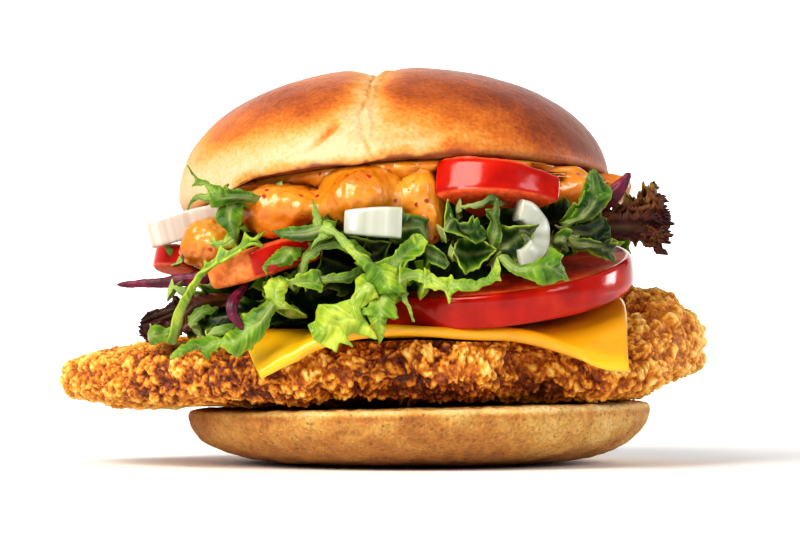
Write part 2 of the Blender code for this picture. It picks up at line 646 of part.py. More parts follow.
def salad_heap():
    """The core with its leaves fused on."""
    finish = material("lettuce", GREEN, 0.4)
    heap = salad_core()
    leaves = []
    for i, (route, side, width, more) in enumerate(HEAP_LEAVES):
        grid = leaf_grid(route, side, width, 9, 4, **more)
        leaves.append(sheet_solid(f"leaf_{i}", grid, LEAF_THICKNESS, finish))
    chance = np.random.default_rng(21)
    for i, angle in enumerate(np.arange(BACK_FROM, BACK_TO, BACK_SPACING)):
        route, side, width = back_leaf(angle, chance)
        grid = leaf_grid(route, side, width, 5, 5, fan=1.0, teeth=0.35, seed=40 + i, waves=2.5, ruffle=1.6)
        leaves.append(sheet_solid(f"back_leaf_{i}", grid, LEAF_THICKNESS, finish))
    combine(heap, leaves, "UNION")
    return heap


# The midribs of the leaves that are nodes of their own
SPRIG = ((-31, -42, 65), (-37, -46, 62.6), (-44, -47, 62.8), (-52, -43, 67))
RIB = ((-34.5, -53, 54), (-41.6, -54, 49.8), (-47.2, -54, 46.3), (-51, -51, 39), (-55, -45, 30.5))
RIGHT_BLADE = ((30, -38, 56.5), (36, -48, 57.5), (40, -50, 62), (39.5, -50, 69))
RED_RIGHT = ((36, -22, 57.5), (46, -25, 58), (54, -24, 58.5), (59.5, -22, 58.5))
RED_LEFT = ((-41, -36, 40), (-49, -40, 38.5), (-57, -38, 36), (-63, -34, 33.5))


def single_leaf(name, finish, route, side, width, rows=11, columns=5, **more):
    """One leaf with a solid of its own."""
    grid = leaf_grid(route, side, width, rows, columns, **more)
    return sheet_solid(name, grid, LEAF_THICKNESS, finish)


# --- the whole burger -------------------------------------------------------------------------


def main():
    for obj in list(bpy.data.objects):
        bpy.data.objects.remove(obj)
    lettuce = material("lettuce", GREEN, 0.4)
    red_leaf = material("red_lettuce", RED_LEAF, 0.45)
    cabbage = material("red_cabbage", (0.09, 0.008, 0.03), 0.45)
    sauce_finish = material("chilli_sauce", (0.8, 0.25, 0.02), 0.2)

    heel = heel_bun()
    crown = crown_bun()
    cheese = cheese_slice()
    lower = tomato_disc("tomato_slice_lower", **LOWER_TOMATO)
    upper = tomato_piece("tomato_slice_upper", **UPPER_TOMATO, first=-140.0, last=-42.0)
    near = tomato_piece("tomato_wedge_near", **NEAR_WEDGE, first=-128.0, last=-48.0)
    far = tomato_piece("tomato_wedge_far", **FAR_WEDGE, first=150.0, last=245.0)
    onion_left = onion_band("onion_left", 22.0, 6.2, 46.0, (-53.5, -6.0, 57.2), (0.0, -15.0, 0.0))
    onion_front = onion_band("onion_front", 15.0, 6.6, 46.0, (-8.1, -42.5, 54.5), (-8.0, 2.0, -8.0))
    onion_right = onion_band("onion_right", 6.3, 6.0, 164.0, (20.6, -53.5, 53.8), (90.0, -90.0, 16.0))
    long_shred = shred("cabbage_shred_left", LONG_SHRED, (1.0, 2.2, 2.4), cabbage)
    short_shred = shred("cabbage_shred_front", SHORT_SHRED, (1.6, 2.6, 2.7, 0.8), cabbage)
    right_shred = shred("cabbage_shred_right", RIGHT_SHRED, (3.2, 3.8, 1.2), cabbage)

    cutlet = pork_cutlet()
    carve(cutlet, [heel, cheese])
    dollop = ball("sauce_dollop", (-46.5, -32.0, 52.4), (6.6, 9.0, 6.6), 12, 6, sauce_finish)
    carve(dollop, [near, far, onion_left, long_shred])
    layer = sauce()
    beside = [crown, upper, near, far, onion_left, onion_front, onion_right, right_shred, long_shred, dollop]
    carve(layer, beside)
    fillings = beside + [cheese, lower, short_shred, cutlet, layer]
    heap = salad_heap()
    carve(heap, fillings)

    sprig = single_leaf("lettuce_sprig_left", lettuce, SPRIG, (0, 0, 1), 2.6,
                        teeth=1.2, count=4, seed=14, ruffle=0.5)
    stem = single_leaf("lettuce_rib_left", lettuce, RIB, (0.6, 0.2, 0.6), 1.4,
                       rows=14, columns=3, teeth=0.8, count=6, seed=15, ruffle=0.3, fan=1.0)
    right_blade = single_leaf("lettuce_blade_right", lettuce, RIGHT_BLADE, (1, 0, -0.3), 3.4,
                              teeth=0.7, count=4, seed=16, ruffle=0.6)
    red_right = single_leaf("red_leaf_right", red_leaf, RED_RIGHT, (0, 0.25, 1), 9.5,
                            rows=9, columns=9, fan=1.0, teeth=0.5, count=7, seed=17, ruffle=2.0, waves=4.0)
    red_left = single_leaf("red_leaf_left", red_leaf, RED_LEFT, (0.3, 0.4, 1), 5.4,
                           rows=10, columns=7, teeth=0.8, count=6, seed=18, ruffle=1.8)
    done = fillings + [heap]
    for leaf in (sprig, stem, right_blade, red_right, red_left):
        carve(leaf, done)
        done.append(leaf)


main()
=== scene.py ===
"""Pork burger, dressed for a close studio view.

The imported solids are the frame. Every piece here is a surface worked out with numpy over the place
that a solid holds, with a food material. Sizes are in millimetres, the front faces -Y, and heights
are written from a datum DATUM under the heel bun's flat underside, as in the part's own source.
"""

import functools
import math

import bpy
import numpy as np
from bpy.props import FloatProperty, FloatVectorProperty, IntProperty, PointerProperty
from mathutils import Euler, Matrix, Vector


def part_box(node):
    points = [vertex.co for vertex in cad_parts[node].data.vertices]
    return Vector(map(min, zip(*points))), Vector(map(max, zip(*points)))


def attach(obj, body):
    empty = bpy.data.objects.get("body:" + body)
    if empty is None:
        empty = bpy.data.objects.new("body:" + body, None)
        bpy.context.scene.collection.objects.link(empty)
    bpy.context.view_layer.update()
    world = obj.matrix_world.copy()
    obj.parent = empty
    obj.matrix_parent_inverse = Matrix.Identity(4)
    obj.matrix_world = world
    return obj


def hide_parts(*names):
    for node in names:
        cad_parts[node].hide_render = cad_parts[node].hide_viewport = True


bl_info = {
    "name": "Pork Burger",
    "version": (1, 0, 0),
    "blender": (4, 5, 0),
    "location": "3D View > Sidebar > Burger",
    "description": "Builds a crumbed pork cutlet burger with its fillings and a small studio",
    "category": "Add Mesh",
}

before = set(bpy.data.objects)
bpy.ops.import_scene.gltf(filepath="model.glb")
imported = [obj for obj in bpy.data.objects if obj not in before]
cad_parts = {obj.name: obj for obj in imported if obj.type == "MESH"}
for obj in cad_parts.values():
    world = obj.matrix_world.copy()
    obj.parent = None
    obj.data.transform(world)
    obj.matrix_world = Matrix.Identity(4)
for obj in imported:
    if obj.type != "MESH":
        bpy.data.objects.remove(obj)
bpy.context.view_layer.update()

MM = 0.001
DATUM = 1.1
BODY = "root"


def place_of(node):
    """A solid's centre and half sizes in millimetres, its height taken from DATUM."""
    low, high = (np.array(corner) / MM + (0.0, 0.0, DATUM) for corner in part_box(node))
    return (low + high) / 2.0, (high - low) / 2.0


# The stack's own planes, centres and shares, in millimetres and degrees
HEEL_RADIUS = place_of("heel_bun")[1][1]
HEEL_HEIGHT = 15.0
HEEL_SLOPE = 0.019
HEEL_FOOT_SHARE = 26.0 / HEEL_RADIUS
HEEL_ROWS = 130
CROWN_CENTRE, CROWN_HALF = place_of("crown_bun")
CROWN_EQUATOR_Z = 66.0
CROWN_TUCK = 14.0
CROWN_LEAN = 0.02
CROWN_CUT_Z = 66.0
CROWN_CUT_SLOPE = (0.073, -0.1)
SPLIT_X = -9.5
SPLIT_BEND = 0.0019
SPLIT_LEAN = 0.03
SAUCE_DEPTH = 7.0
SAUCE_REACH = 40.0
SAUCE_SHARPNESS = 0.48
CHEESE_CENTRE_X = 5.2
CHEESE_SIDE = 84.6
CHEESE_THICKNESS = 2.6
CHEESE_Z = 33.2
CHEESE_RISE = 7.5
CHEESE_FRONT_Y = -53.5
CHEESE_FOLD = 13.0
CHEESE_EDGE_Z = 34.5
CUTLET_CENTRE = (-9.3, -2.0)
CUTLET_HALF = (77.5, 49.0)
CUTLET_POWER = 2.3
CUTLET_TOP_Z = 31.5
CUTLET_BOTTOM_Z = 14.6
LOBE_CENTRE = (55.5, -4.0)
LOBE_SPREAD = (15.0, 25.0)
LOBE_RISE = 13.5
LOBE_LIFT = 4.5
NOTCH_ANGLE = -46.0
NOTCH_DEPTH = 0.13
NOTCH_SPREAD = 0.16
TOMATO_CORE = 0.25

# How far a leaf bends across its midrib, in radians, and the points along and across a drawn one
LEAF_ROLL = 0.3
BLADE_ROWS = 100
BLADE_COLUMNS = 27
ROOT_ROWS = 20


# --- fields and curves ------------------------------------------------------------------------


def smooth_step(t):
    """0 below 0, 1 above 1, and 3t^2 - 2t^3 between."""
    t = np.clip(t, 0.0, 1.0)
    return t * t * (3.0 - 2.0 * t)


def bell(distance, width):
    """exp(-(distance / width)^2)."""
    return np.exp(-((distance / width) ** 2))


def signed_power(value, power):
    """The value's size raised to a power, with its sign kept: a side of a superellipse."""
    return np.sign(value) * np.abs(value) ** power


def chance_at(corner, seed):
    """A repeatable number from 0 to 1 for each whole-numbered corner."""
    h = (corner[..., 0] * 73856093) ^ (corner[..., 1] * 19349663) ^ (corner[..., 2] * 83492791)
    h = h ^ (seed * 2654435)
    h = ((h ^ (h >> 13)) * 1274126177) & 0x7FFFFFFF
    return ((h >> 8) % 2048) / 2047.0


def soft_noise(points, cell, seed):
    """Smooth noise from -1 to 1: random values at the corners of cubes of side cell, blended."""
    scaled = np.asarray(points, float) / cell
    corner = np.floor(scaled).astype(np.int64)
    part = smooth_step(scaled - corner)
    total = np.zeros(scaled.shape[:-1])
    for offset in np.ndindex(2, 2, 2):
        weight = np.prod(np.where(np.array(offset) == 1, part, 1.0 - part), axis=-1)
        total += weight * (2.0 * chance_at(corner + offset, seed) - 1.0)
    return total


def layered_noise(points, cell, seed, layers=3):
    """soft_noise at cell, and at half of it with half the strength, and so on."""
    return sum(soft_noise(points, cell / 2**k, seed + k) / 2**k for k in range(layers))


def noise_vector(points, cell, seed):
    """soft_noise three times over, as a vector."""
    return np.stack([soft_noise(points, cell, seed + k) for k in range(3)], -1)


def ball_relief(points, cell, seed, size=0.62):
    """The height of a packing of balls above its base, 0 to 1 times size: in each cube of side cell
    there is one ball, at a random place and of a random size, and the highest surface counts."""
    scaled = np.asarray(points, float) / cell
    corner = np.floor(scaled).astype(np.int64)
    best = np.zeros(scaled.shape[:-1])
    for offset in np.ndindex(3, 3, 3):
        cube = corner + np.array(offset) - 1
        centre = cube + np.stack([chance_at(cube, seed + k) for k in (1, 2, 3)], -1)
        radius = size * (0.65 + 0.5 * chance_at(cube, seed + 4))
        inside = 1.0 - np.sum((scaled - centre) ** 2, axis=-1) / radius**2
        best = np.maximum(best, radius * np.sqrt(np.clip(inside, 0.0, None)))
    return best


def circle(count):
    """Angles evenly round a circle."""
    return np.arange(count) * 2.0 * math.pi / count


def front_angles(count, crowding=0.5):
    """Angles round a circle, closer together towards -Y: t - crowding sin(t + 90 degrees)."""
    t = circle(count)
    return t - crowding * np.sin(t + math.pi / 2)


def smooth_path(points, t):
    """Points at t from 0 to 1 along a Catmull-Rom curve through the given ones."""
    points = np.asarray(points, float)
    held = np.concatenate([[2 * points[0] - points[1]], points, [2 * points[-1] - points[-2]]])
    place = np.clip(t, 0.0, 1.0) * (len(points) - 1)
    i = np.minimum(place.astype(int), len(points) - 2)
    f = (place - i)[:, None]
    a, b, c, d = held[i], held[i + 1], held[i + 2], held[i + 3]
    return 0.5 * (2 * b + (c - a) * f + (2 * a - 5 * b + 4 * c - d) * f**2 + (3 * b - a - 3 * c + d) * f**3)


def unit(vectors):
    """The vectors at length 1."""
    return vectors / np.maximum(np.linalg.norm(vectors, axis=-1, keepdims=True), 1e-9)


def points_at(x, y, z):
    """Points from coordinates that may each vary with the row, the column, both or neither."""
    return np.stack(np.broadcast_arrays(x, y, z), -1)


def grid_normals(grid, wrap=True):
    """The surface's normal at each point: the cross product of its slopes along and across."""
    along = np.gradient(grid, axis=0)
    if wrap:
        across = (np.roll(grid, -1, axis=1) - np.roll(grid, 1, axis=1)) / 2.0
    else:
        across = np.gradient(grid, axis=1)
    return unit(np.cross(along, across))


def raised(grid, height):
    """The points of a grid that joins round, each moved along its normal by its height."""
    return grid + grid_normals(grid) * height[..., None]


def length_along(points):
    """How far along a line each of its points is."""
    return np.concatenate([[0.0], np.cumsum(np.linalg.norm(np.diff(points, axis=0), axis=1))])


def even_shares(profile, count, weight):
    """Places along a profile, as row numbers, that step evenly over its length times a weight."""
    step = np.linalg.norm(np.diff(profile, axis=0), axis=1) * (weight[1:] + weight[:-1]) / 2.0
    reached = np.concatenate([[0.0], np.cumsum(step)])
    return np.interp(np.linspace(0.0, reached[-1], count), reached, np.arange(len(profile)))


# --- meshes -----------------------------------------------------------------------------------


class Skin:
    """Grids of points gathered into one mesh, each with the same named values at its points."""

    def __init__(self):
        self.points, self.quads, self.corners, self.fields = [], [], [], {}
        self.size = 0

    def add(self, grid, closed=False, **fields):
        """Adds a grid. closed joins its last column to its first, and fills its end rows round the
        point in their middle."""
        rows, columns = grid.shape[:2]
        index = self.size + np.arange(rows * columns).reshape(rows, columns)
        self.points.append(grid.reshape(-1, 3))
        self.size += rows * columns
        if closed:
            index = np.concatenate([index, index[:, :1]], axis=1)
            self.points.append(np.array([grid[0].mean(0), grid[-1].mean(0)]))
            for pole, ring in enumerate((index[0], index[-1, ::-1])):
                self.corners.append(np.stack([np.full(columns, self.size + pole), ring[:-1], ring[1:]], -1))
            self.size += 2
        self.quads.append(np.stack([index[:-1, :-1], index[1:, :-1], index[1:, 1:], index[:-1, 1:]], -1))
        for name, value in fields.items():
            value = np.broadcast_to(value, (rows, columns))
            poles = [value[0].mean(), value[-1].mean()] if closed else []
            self.fields.setdefault(name, []).extend((value.ravel(), poles))
        return self

    def piece(self, name):
        """Makes the object, with its place in its mesh."""
        points = (np.concatenate(self.points) - (0.0, 0.0, DATUM)) * MM
        quads = np.concatenate([block.reshape(-1, 4) for block in self.quads])
        corners = np.concatenate([*self.corners, np.zeros((0, 3), int)])
        loops = np.concatenate([quads.ravel(), corners.ravel()]).astype(np.int32)
        starts = np.concatenate([np.arange(len(quads)) * 4, len(quads) * 4 + np.arange(len(corners)) * 3])
        mesh = bpy.data.meshes.new(name)
        mesh.vertices.add(len(points))
        mesh.vertices.foreach_set("co", points.astype(np.float32).ravel())
        mesh.loops.add(len(loops))
        mesh.loops.foreach_set("vertex_index", loops)
        mesh.polygons.add(len(starts))
        mesh.polygons.foreach_set("loop_start", starts.astype(np.int32))
        for field, values in self.fields.items():
            attribute = mesh.attributes.new(field, "FLOAT", "POINT")
            attribute.data.foreach_set("value", np.concatenate(values).astype(np.float32))
        mesh.update(calc_edges=True)
        mesh.validate()
        mesh.shade_smooth()
        obj = bpy.data.objects.new(name, mesh)
        bpy.context.scene.collection.objects.link(obj)
        return obj


def dress(obj, finish, node, thickness=0.0):
    """Gives a piece its material, hangs it on the body, hides the solid that it stands for, and
    thickens it if it is a sheet.
    """
    obj.data.materials.append(finish)
    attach(obj, BODY)
    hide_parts(node)
    if thickness:
        sheet = obj.modifiers.new("thickness", "SOLIDIFY")
        sheet.thickness = thickness
        sheet.offset = 0.0


# --- materials --------------------------------------------------------------------------------


def colour(code):
    """A linear colour from an sRGB hex value."""
    parts = [int(code[i : i + 2], 16) / 255.0 for i in (1, 3, 5)]
    linear = [c / 12.92 if c <= 0.04045 else ((c + 0.055) / 1.055) ** 2.4 for c in parts]
    return (*linear, 1.0)


def per_mm(size):
    """A texture scale whose feature is size millimetres: object coordinates are in metres."""
    return 1.0 / (size * MM)


def set_inputs(node, values):
    """Sets or links a node's inputs. A node given as a value stands for its first output in use."""
    for key, value in values.items():
        if isinstance(value, bpy.types.Node):
            value = next(socket for socket in value.outputs if socket.enabled)
        if isinstance(value, bpy.types.NodeSocket):
            node.id_data.links.new(value, node.inputs[key])
        else:
            node.inputs[key].default_value = value


def add_node(tree, kind, inputs=None, stops=(), **settings):
    """Adds a shader node with its settings and inputs. stops are a ramp's places and colours."""
    node = tree.nodes.new("ShaderNode" + kind)
    for key, value in settings.items():
        setattr(node, key, value)
    set_inputs(node, inputs or {})
    if stops:
        ramp = node.color_ramp
        while len(ramp.elements) < len(stops):
            ramp.elements.new(1.0)
        for element, (place, code) in zip(ramp.elements, stops):
            element.position = place
            element.color = colour(code)
    return node


def new_material(name, fields=(), **values):
    """A material whose Principled shader has some plain values set. Comes with the shader, a function
    that adds nodes, the place on the object, and the value of each field stored on the mesh."""
    made = bpy.data.materials.new(name)
    made.use_nodes = True
    shader = made.node_tree.nodes["Principled BSDF"]
    set_inputs(shader, {key.replace("_", " "): value for key, value in values.items()})
    add = functools.partial(add_node, made.node_tree)
    where = add("TexCoord").outputs["Object"]
    stored = [add("Attribute", attribute_name=field).outputs["Fac"] for field in fields]
    return made, shader, add, where, *stored


def crust_material(toasted):
    """Enriched bread dough, egg washed and oven browned: pale where the lobes shaded each other, red
    brown and shining on top, with fine blisters and a freckled skin. The browning it reads also holds a
    painted sheen and painted shade."""
    made, shader, add, where, bake, toast = new_material(
        "egg_washed_crust", ("bake", "toast"), Subsurface_Weight=0.06, Subsurface_Scale=0.002,
        Specular_IOR_Level=0.36)
    cloud = add("TexNoise", {"Vector": where, "Scale": per_mm(11.0), "Detail": 5.0, "Roughness": 0.6})
    freckle = add("TexNoise", {"Vector": where, "Scale": per_mm(0.9), "Detail": 4.0})
    blotch = add("Math", {0: cloud, 1: 0.5}, operation="SUBTRACT")
    speck = add("Math", {0: freckle, 1: 0.5}, operation="SUBTRACT")
    moved = add("Math", {0: blotch, 1: 0.6, 2: bake}, operation="MULTIPLY_ADD")
    level = add("Math", {0: speck, 1: 0.55, 2: moved}, operation="MULTIPLY_ADD", use_clamp=True)
    skin = add("ValToRGB", {"Fac": level}, stops=(
        (0.0, "#D0B28C"), (0.2, "#D0A26A"), (0.42, "#CC8838"), (0.62, "#BE681E"), (0.82, "#A04C14"),
        (1.0, "#7A3410")))
    burnt = add("Mix", {"Factor": toast, "A": skin, "B": toasted}, data_type="RGBA")
    shine = add("MapRange", {"Value": level, "From Min": 0.15, "From Max": 0.75, "To Min": 0.7,
                             "To Max": 0.42})
    blister = add("TexNoise", {"Vector": where, "Scale": per_mm(0.7), "Detail": 4.0, "Roughness": 0.65})
    bump = add("Bump", {"Height": blister, "Strength": 0.35, "Distance": 0.3 * MM})
    set_inputs(shader, {"Base Color": burnt, "Roughness": shine, "Normal": bump})
    return made


def heel_material():
    """The underside half, baked on a tray and toasted: a dry matt skin with small pits, darker inside
    as painted shade, and soft brown patches, dusted paler along its top edge and browner low down as
    painted shade."""
    made, shader, add, where, bake = new_material(
        "tray_baked_crust", ("bake",), Roughness=0.72, Subsurface_Weight=0.05, Subsurface_Scale=0.002)
    cloud = add("TexNoise", {"Vector": where, "Scale": per_mm(8.0), "Detail": 6.0, "Roughness": 0.62})
    moved = add("Math", {0: cloud, 1: 0.5}, operation="SUBTRACT")
    level = add("Math", {0: moved, 1: bake}, operation="ADD", use_clamp=True)
    skin = add("ValToRGB", {"Fac": level}, stops=(
        (0.0, "#ECD6A2"), (0.3, "#DEBA74"), (0.5, "#CE9E50"), (0.7, "#BA7E36"), (1.0, "#94561E")))
    pit = add("TexVoronoi", {"Vector": where, "Scale": per_mm(1.5)})
    hole = add("MapRange", {"Value": pit, "From Min": 0.05, "From Max": 0.32})
    # painted shade inside the pits
    shade = add("MapRange", {"Value": pit, "From Max": 0.25, "To Min": 0.72})
    grain = add("TexNoise", {"Vector": where, "Scale": per_mm(0.8), "Detail": 4.0, "Roughness": 0.7})
    mottle = add("MapRange", {"Value": grain, "From Min": 0.3, "From Max": 0.7, "To Min": 0.62,
                              "To Max": 1.25})
    both = add("Math", {0: shade, 1: mottle}, operation="MULTIPLY")
    tinted = add("Mix", {"Factor": 1.0, "A": skin, "B": both}, data_type="RGBA", blend_type="MULTIPLY")
    height = add("Math", {0: grain, 1: 1.1, 2: hole}, operation="MULTIPLY_ADD")
    bump = add("Bump", {"Height": height, "Strength": 0.9, "Distance": 0.45 * MM})
    set_inputs(shader, {"Base Color": tinted, "Normal": bump})
    return made


def cutlet_material():
    """Seasoned flour and egg crumb fried in oil: knobbly, painted pale gold on the crests as highlight
    and burnt orange in the clefts as shade, with a thin film of oil that catches the light."""
    made, shader, add, where, crest = new_material(
        "fried_crumb_coating", ("crest",), Subsurface_Weight=0.06, Subsurface_Scale=0.001,
        Subsurface_Radius=(1.0, 0.5, 0.2))
    cloud = add("TexNoise", {"Vector": where, "Scale": per_mm(13.0), "Detail": 4.0, "Roughness": 0.6})
    grain = add("TexNoise", {"Vector": where, "Scale": per_mm(1.0), "Detail": 5.0, "Roughness": 0.7})
    moved = add("Math", {0: grain, 1: 0.7, 2: crest}, operation="MULTIPLY_ADD")
    level = add("Math", {0: moved, 1: 0.29}, operation="SUBTRACT", use_clamp=True)
    pale = add("ValToRGB", {"Fac": level}, stops=(
        (0.0, "#662204"), (0.2, "#B05A08"), (0.45, "#E08C1A"), (0.72, "#F6B440"), (1.0, "#FFDC84")))
    deep = add("ValToRGB", {"Fac": level}, stops=(
        (0.0, "#340E02"), (0.2, "#823604"), (0.45, "#CA700E"), (0.72, "#EE9E2A"), (1.0, "#FECC68")))
    patch = add("MapRange", {"Value": cloud, "From Min": 0.4, "From Max": 0.62})
    mixed = add("Mix", {"Factor": patch, "A": pale, "B": deep}, data_type="RGBA")
    oily = add("MapRange", {"Value": grain, "From Min": 0.3, "From Max": 0.7, "To Min": 0.32, "To Max": 0.6})
    fine = add("TexVoronoi", {"Vector": where, "Scale": per_mm(0.9)})
    height = add("Math", {0: grain, 1: fine}, operation="SUBTRACT")
    bump = add("Bump", {"Height": height, "Strength": 0.9, "Distance": 0.5 * MM})
    set_inputs(shader, {"Base Color": mixed, "Roughness": oily, "Normal": bump})
    return made


def cheese_material(thin):
    """Processed cheese just melted by the hot meat: even yellow, soft edged and wet looking, deeper in
    colour where it is thin and, as painted shade, towards the right.
    """
    made, shader, add, where, melt = new_material(
        "melted_cheese", ("melt",), Subsurface_Weight=0.35, Subsurface_Scale=0.003,
        Subsurface_Radius=(1.0, 0.6, 0.12), Coat_Weight=0.35, Coat_Roughness=0.12)
    cloud = add("TexNoise", {"Vector": where, "Scale": per_mm(16.0), "Detail": 2.0})
    body = add("ValToRGB", {"Fac": cloud}, stops=((0.3, "#EDA90A"), (0.55, "#F7C11A"), (0.8, "#FBCF2C")))
    thinned_and_shaded = add("Mix", {"Factor": melt, "A": body, "B": thin}, data_type="RGBA")
    film = add("MapRange", {"Value": cloud, "From Min": 0.35, "From Max": 0.65, "To Min": 0.24,
                            "To Max": 0.4})
    ripple = add("TexNoise", {"Vector": where, "Scale": per_mm(5.0), "Detail": 2.0})
    bump = add("Bump", {"Height": ripple, "Strength": 0.25, "Distance": 0.5 * MM})
    set_inputs(shader, {"Base Color": thinned_and_shaded, "Roughness": film, "Normal": bump})
    return made


def tomato_material():
    """Ripe tomato: a tight waxy skin that mirrors the lights, and wet cut flesh, paler and grainy."""
    made, shader, add, where, skin, pale = new_material(
        "ripe_tomato", ("skin", "pale"), Subsurface_Weight=0.06, Subsurface_Scale=0.001,
        Subsurface_Radius=(1.0, 0.25, 0.12), Specular_IOR_Level=0.32)
    cloud = add("TexNoise", {"Vector": where, "Scale": per_mm(7.0), "Detail": 3.0})
    grain = add("TexNoise", {"Vector": where, "Scale": per_mm(1.2), "Detail": 4.0})
    peel = add("ValToRGB", {"Fac": cloud}, stops=((0.3, "#940A00"), (0.55, "#B01602"), (0.8, "#C42A08")))
    flesh = add("ValToRGB", {"Fac": grain}, stops=((0.3, "#B42008"), (0.55, "#CA3612"), (0.8, "#DC5C2E")))
    wall = add("ValToRGB", {"Fac": grain}, stops=((0.3, "#D06428"), (0.55, "#E07E3A"), (0.8, "#EC9E5C")))
    cut = add("Mix", {"Factor": pale, "A": flesh, "B": wall}, data_type="RGBA")
    whole = add("Mix", {"Factor": skin, "A": cut, "B": peel}, data_type="RGBA")
    wet = add("MapRange", {"Value": skin, "To Min": 0.5, "To Max": 0.13})
    rough = add("MapRange", {"Value": skin, "To Min": 0.45, "To Max": 0.05})
    bump = add("Bump", {"Height": grain, "Strength": rough, "Distance": 0.4 * MM})
    set_inputs(shader, {"Base Color": whole, "Roughness": wet, "Normal": bump})
    return made


def onion_material():
    """Raw white onion: a wet, half clear layer ribbed by the veins that run up it, drawn as wide soft
    bands, because the veins themselves are finer than the view shows."""
    made, shader, add, _, along, blush = new_material(
        "raw_white_onion", ("arc", "blush"), Roughness=0.2, Subsurface_Weight=0.5, Subsurface_Scale=0.004,
        Subsurface_Radius=(1.0, 0.9, 0.8), Coat_Weight=0.3, Coat_Roughness=0.1)
    vein = add("TexNoise", {"W": along, "Scale": 0.45, "Detail": 3.0, "Roughness": 0.4},
               noise_dimensions="1D")
    white = add("ValToRGB", {"Fac": vein}, stops=((0.3, "#A6AA98"), (0.5, "#B0B3A6"), (0.75, "#BCBEB4")))
    pink = add("ValToRGB", {"Fac": vein}, stops=((0.3, "#B8A69C"), (0.5, "#C2B6AC"), (0.75, "#CEC6BC")))
    layer = add("Mix", {"Factor": blush, "A": white, "B": pink}, data_type="RGBA")
    bump = add("Bump", {"Height": vein, "Strength": 0.25, "Distance": 0.3 * MM})
    set_inputs(shader, {"Base Color": layer, "Normal": bump})
    return made


def sauce_material(chilli):
    """Creamy chilli sauce: thick, wet and orange, with crushed red chilli in it."""
    made, shader, add, where = new_material(
        "creamy_chilli_sauce", Roughness=0.3, Subsurface_Weight=0.25, Subsurface_Scale=0.003,
        Subsurface_Radius=(1.0, 0.4, 0.15), Coat_Weight=0.35, Coat_Roughness=0.08)
    cloud = add("TexNoise", {"Vector": where, "Scale": per_mm(9.0), "Detail": 3.0})
    body = add("ValToRGB", {"Fac": cloud}, stops=((0.3, "#B6620E"), (0.5, "#CC7E16"), (0.75, "#DE9E3A")))
    warped = add("TexNoise", {"Vector": where, "Scale": per_mm(1.5), "Detail": 2.0}).outputs["Color"]
    bent = add("Mix", {"Factor": 0.0012, "A": where, "B": warped}, data_type="RGBA", blend_type="ADD")
    flake = add("TexVoronoi", {"Vector": bent, "Scale": per_mm(3.0)})
    near = add("MapRange", {"Value": flake, "From Min": 0.15, "From Max": 0.2, "To Min": 1.0, "To Max": 0.0})
    drawn = add("SeparateColor", {"Color": flake.outputs["Color"]})
    kept = add("Math", {0: drawn, 1: 0.35}, operation="GREATER_THAN")
    fleck = add("Math", {0: near, 1: kept}, operation="MULTIPLY")
    mixed = add("Mix", {"Factor": fleck, "A": body, "B": chilli}, data_type="RGBA")
    lumps = add("TexNoise", {"Vector": where, "Scale": per_mm(2.4), "Detail": 3.0})
    height = add("Math", {0: fleck, 1: 0.4, 2: lumps}, operation="MULTIPLY_ADD")
    bump = add("Bump", {"Height": height, "Strength": 0.4, "Distance": 0.8 * MM})
    set_inputs(shader, {"Base Color": mixed, "Normal": bump})
    return made


def leaf_material(name, blade, rib, edge):
    """A fresh leaf: a waxy blade that lets some light through, streaked by its veins, with a paler
    midrib and a lighter rim, which is partly the leaf's own paler edge and partly painted light. Its tint
    is its own tone and painted shade."""
    made, shader, add, where, tint, ribs, rim, vein = new_material(
        name, ("tint", "rib", "rim", "vein"), Roughness=0.36, Specular_IOR_Level=0.32)
    cloud = add("TexNoise", {"Vector": where, "Scale": per_mm(5.0), "Detail": 4.0})
    streak = add("TexNoise", {"W": vein, "Scale": 1.1, "Detail": 3.0, "Roughness": 0.7},
                 noise_dimensions="1D")
    both = add("Math", {0: streak, 1: 0.7, 2: cloud}, operation="MULTIPLY_ADD")
    moved = add("Math", {0: both, 1: 0.85}, operation="SUBTRACT")
    # tint is each leaf's own tone, and painted shade where a leaf sits in the heap's hollows
    level = add("Math", {0: moved, 1: 0.95, 2: tint}, operation="MULTIPLY_ADD", use_clamp=True)
    body = add("ValToRGB", {"Fac": level}, stops=tuple(zip((0.0, 0.35, 0.7, 1.0), blade)))
    rimmed = add("Mix", {"Factor": rim, "A": body, "B": colour(edge)}, data_type="RGBA")
    ribbed = add("Mix", {"Factor": ribs, "A": rimmed, "B": colour(rib)}, data_type="RGBA")
    cells = add("TexVoronoi", {"Vector": where, "Scale": per_mm(1.8)})
    height = add("Math", {0: cells, 1: both}, operation="ADD")
    bump = add("Bump", {"Height": height, "Strength": 0.45, "Distance": 0.35 * MM})
    set_inputs(shader, {"Base Color": ribbed, "Normal": bump})
    through = add("BsdfTranslucent", {"Color": ribbed})
    mixed = add("MixShader", {0: 0.25, 1: shader, 2: through})
    set_inputs(made.node_tree.nodes["Material Output"], {"Surface": mixed})
    return made


def cabbage_material():
    """Red cabbage cut in shreds: dark purple skin, pink white where the knife went through."""
    made, shader, add, where = new_material("red_cabbage_shred", Roughness=0.4, Specular_IOR_Level=0.34)
    streak = add("TexNoise", {"Vector": where, "Scale": per_mm(3.5), "Detail": 3.0})
    body = add("ValToRGB", {"Fac": streak}, stops=(
        (0.3, "#320616"), (0.5, "#560C2A"), (0.68, "#861A46"), (0.85, "#B24474")))
    bump = add("Bump", {"Height": streak, "Strength": 0.6, "Distance": 0.3 * MM})
    set_inputs(shader, {"Base Color": body, "Normal": bump})
    return made


def board_material():
    """Matt white studio board."""
    made, shader, add, where = new_material("studio_board", Roughness=0.9)
    tooth = add("TexNoise", {"Vector": where, "Scale": per_mm(25.0), "Detail": 2.0})
    body = add("ValToRGB", {"Fac": tooth}, stops=((0.0, "#F1F0EE"), (1.0, "#F7F6F4")))
    set_inputs(shader, {"Base Color": body})
    return made


# --- buns -------------------------------------------------------------------------------------


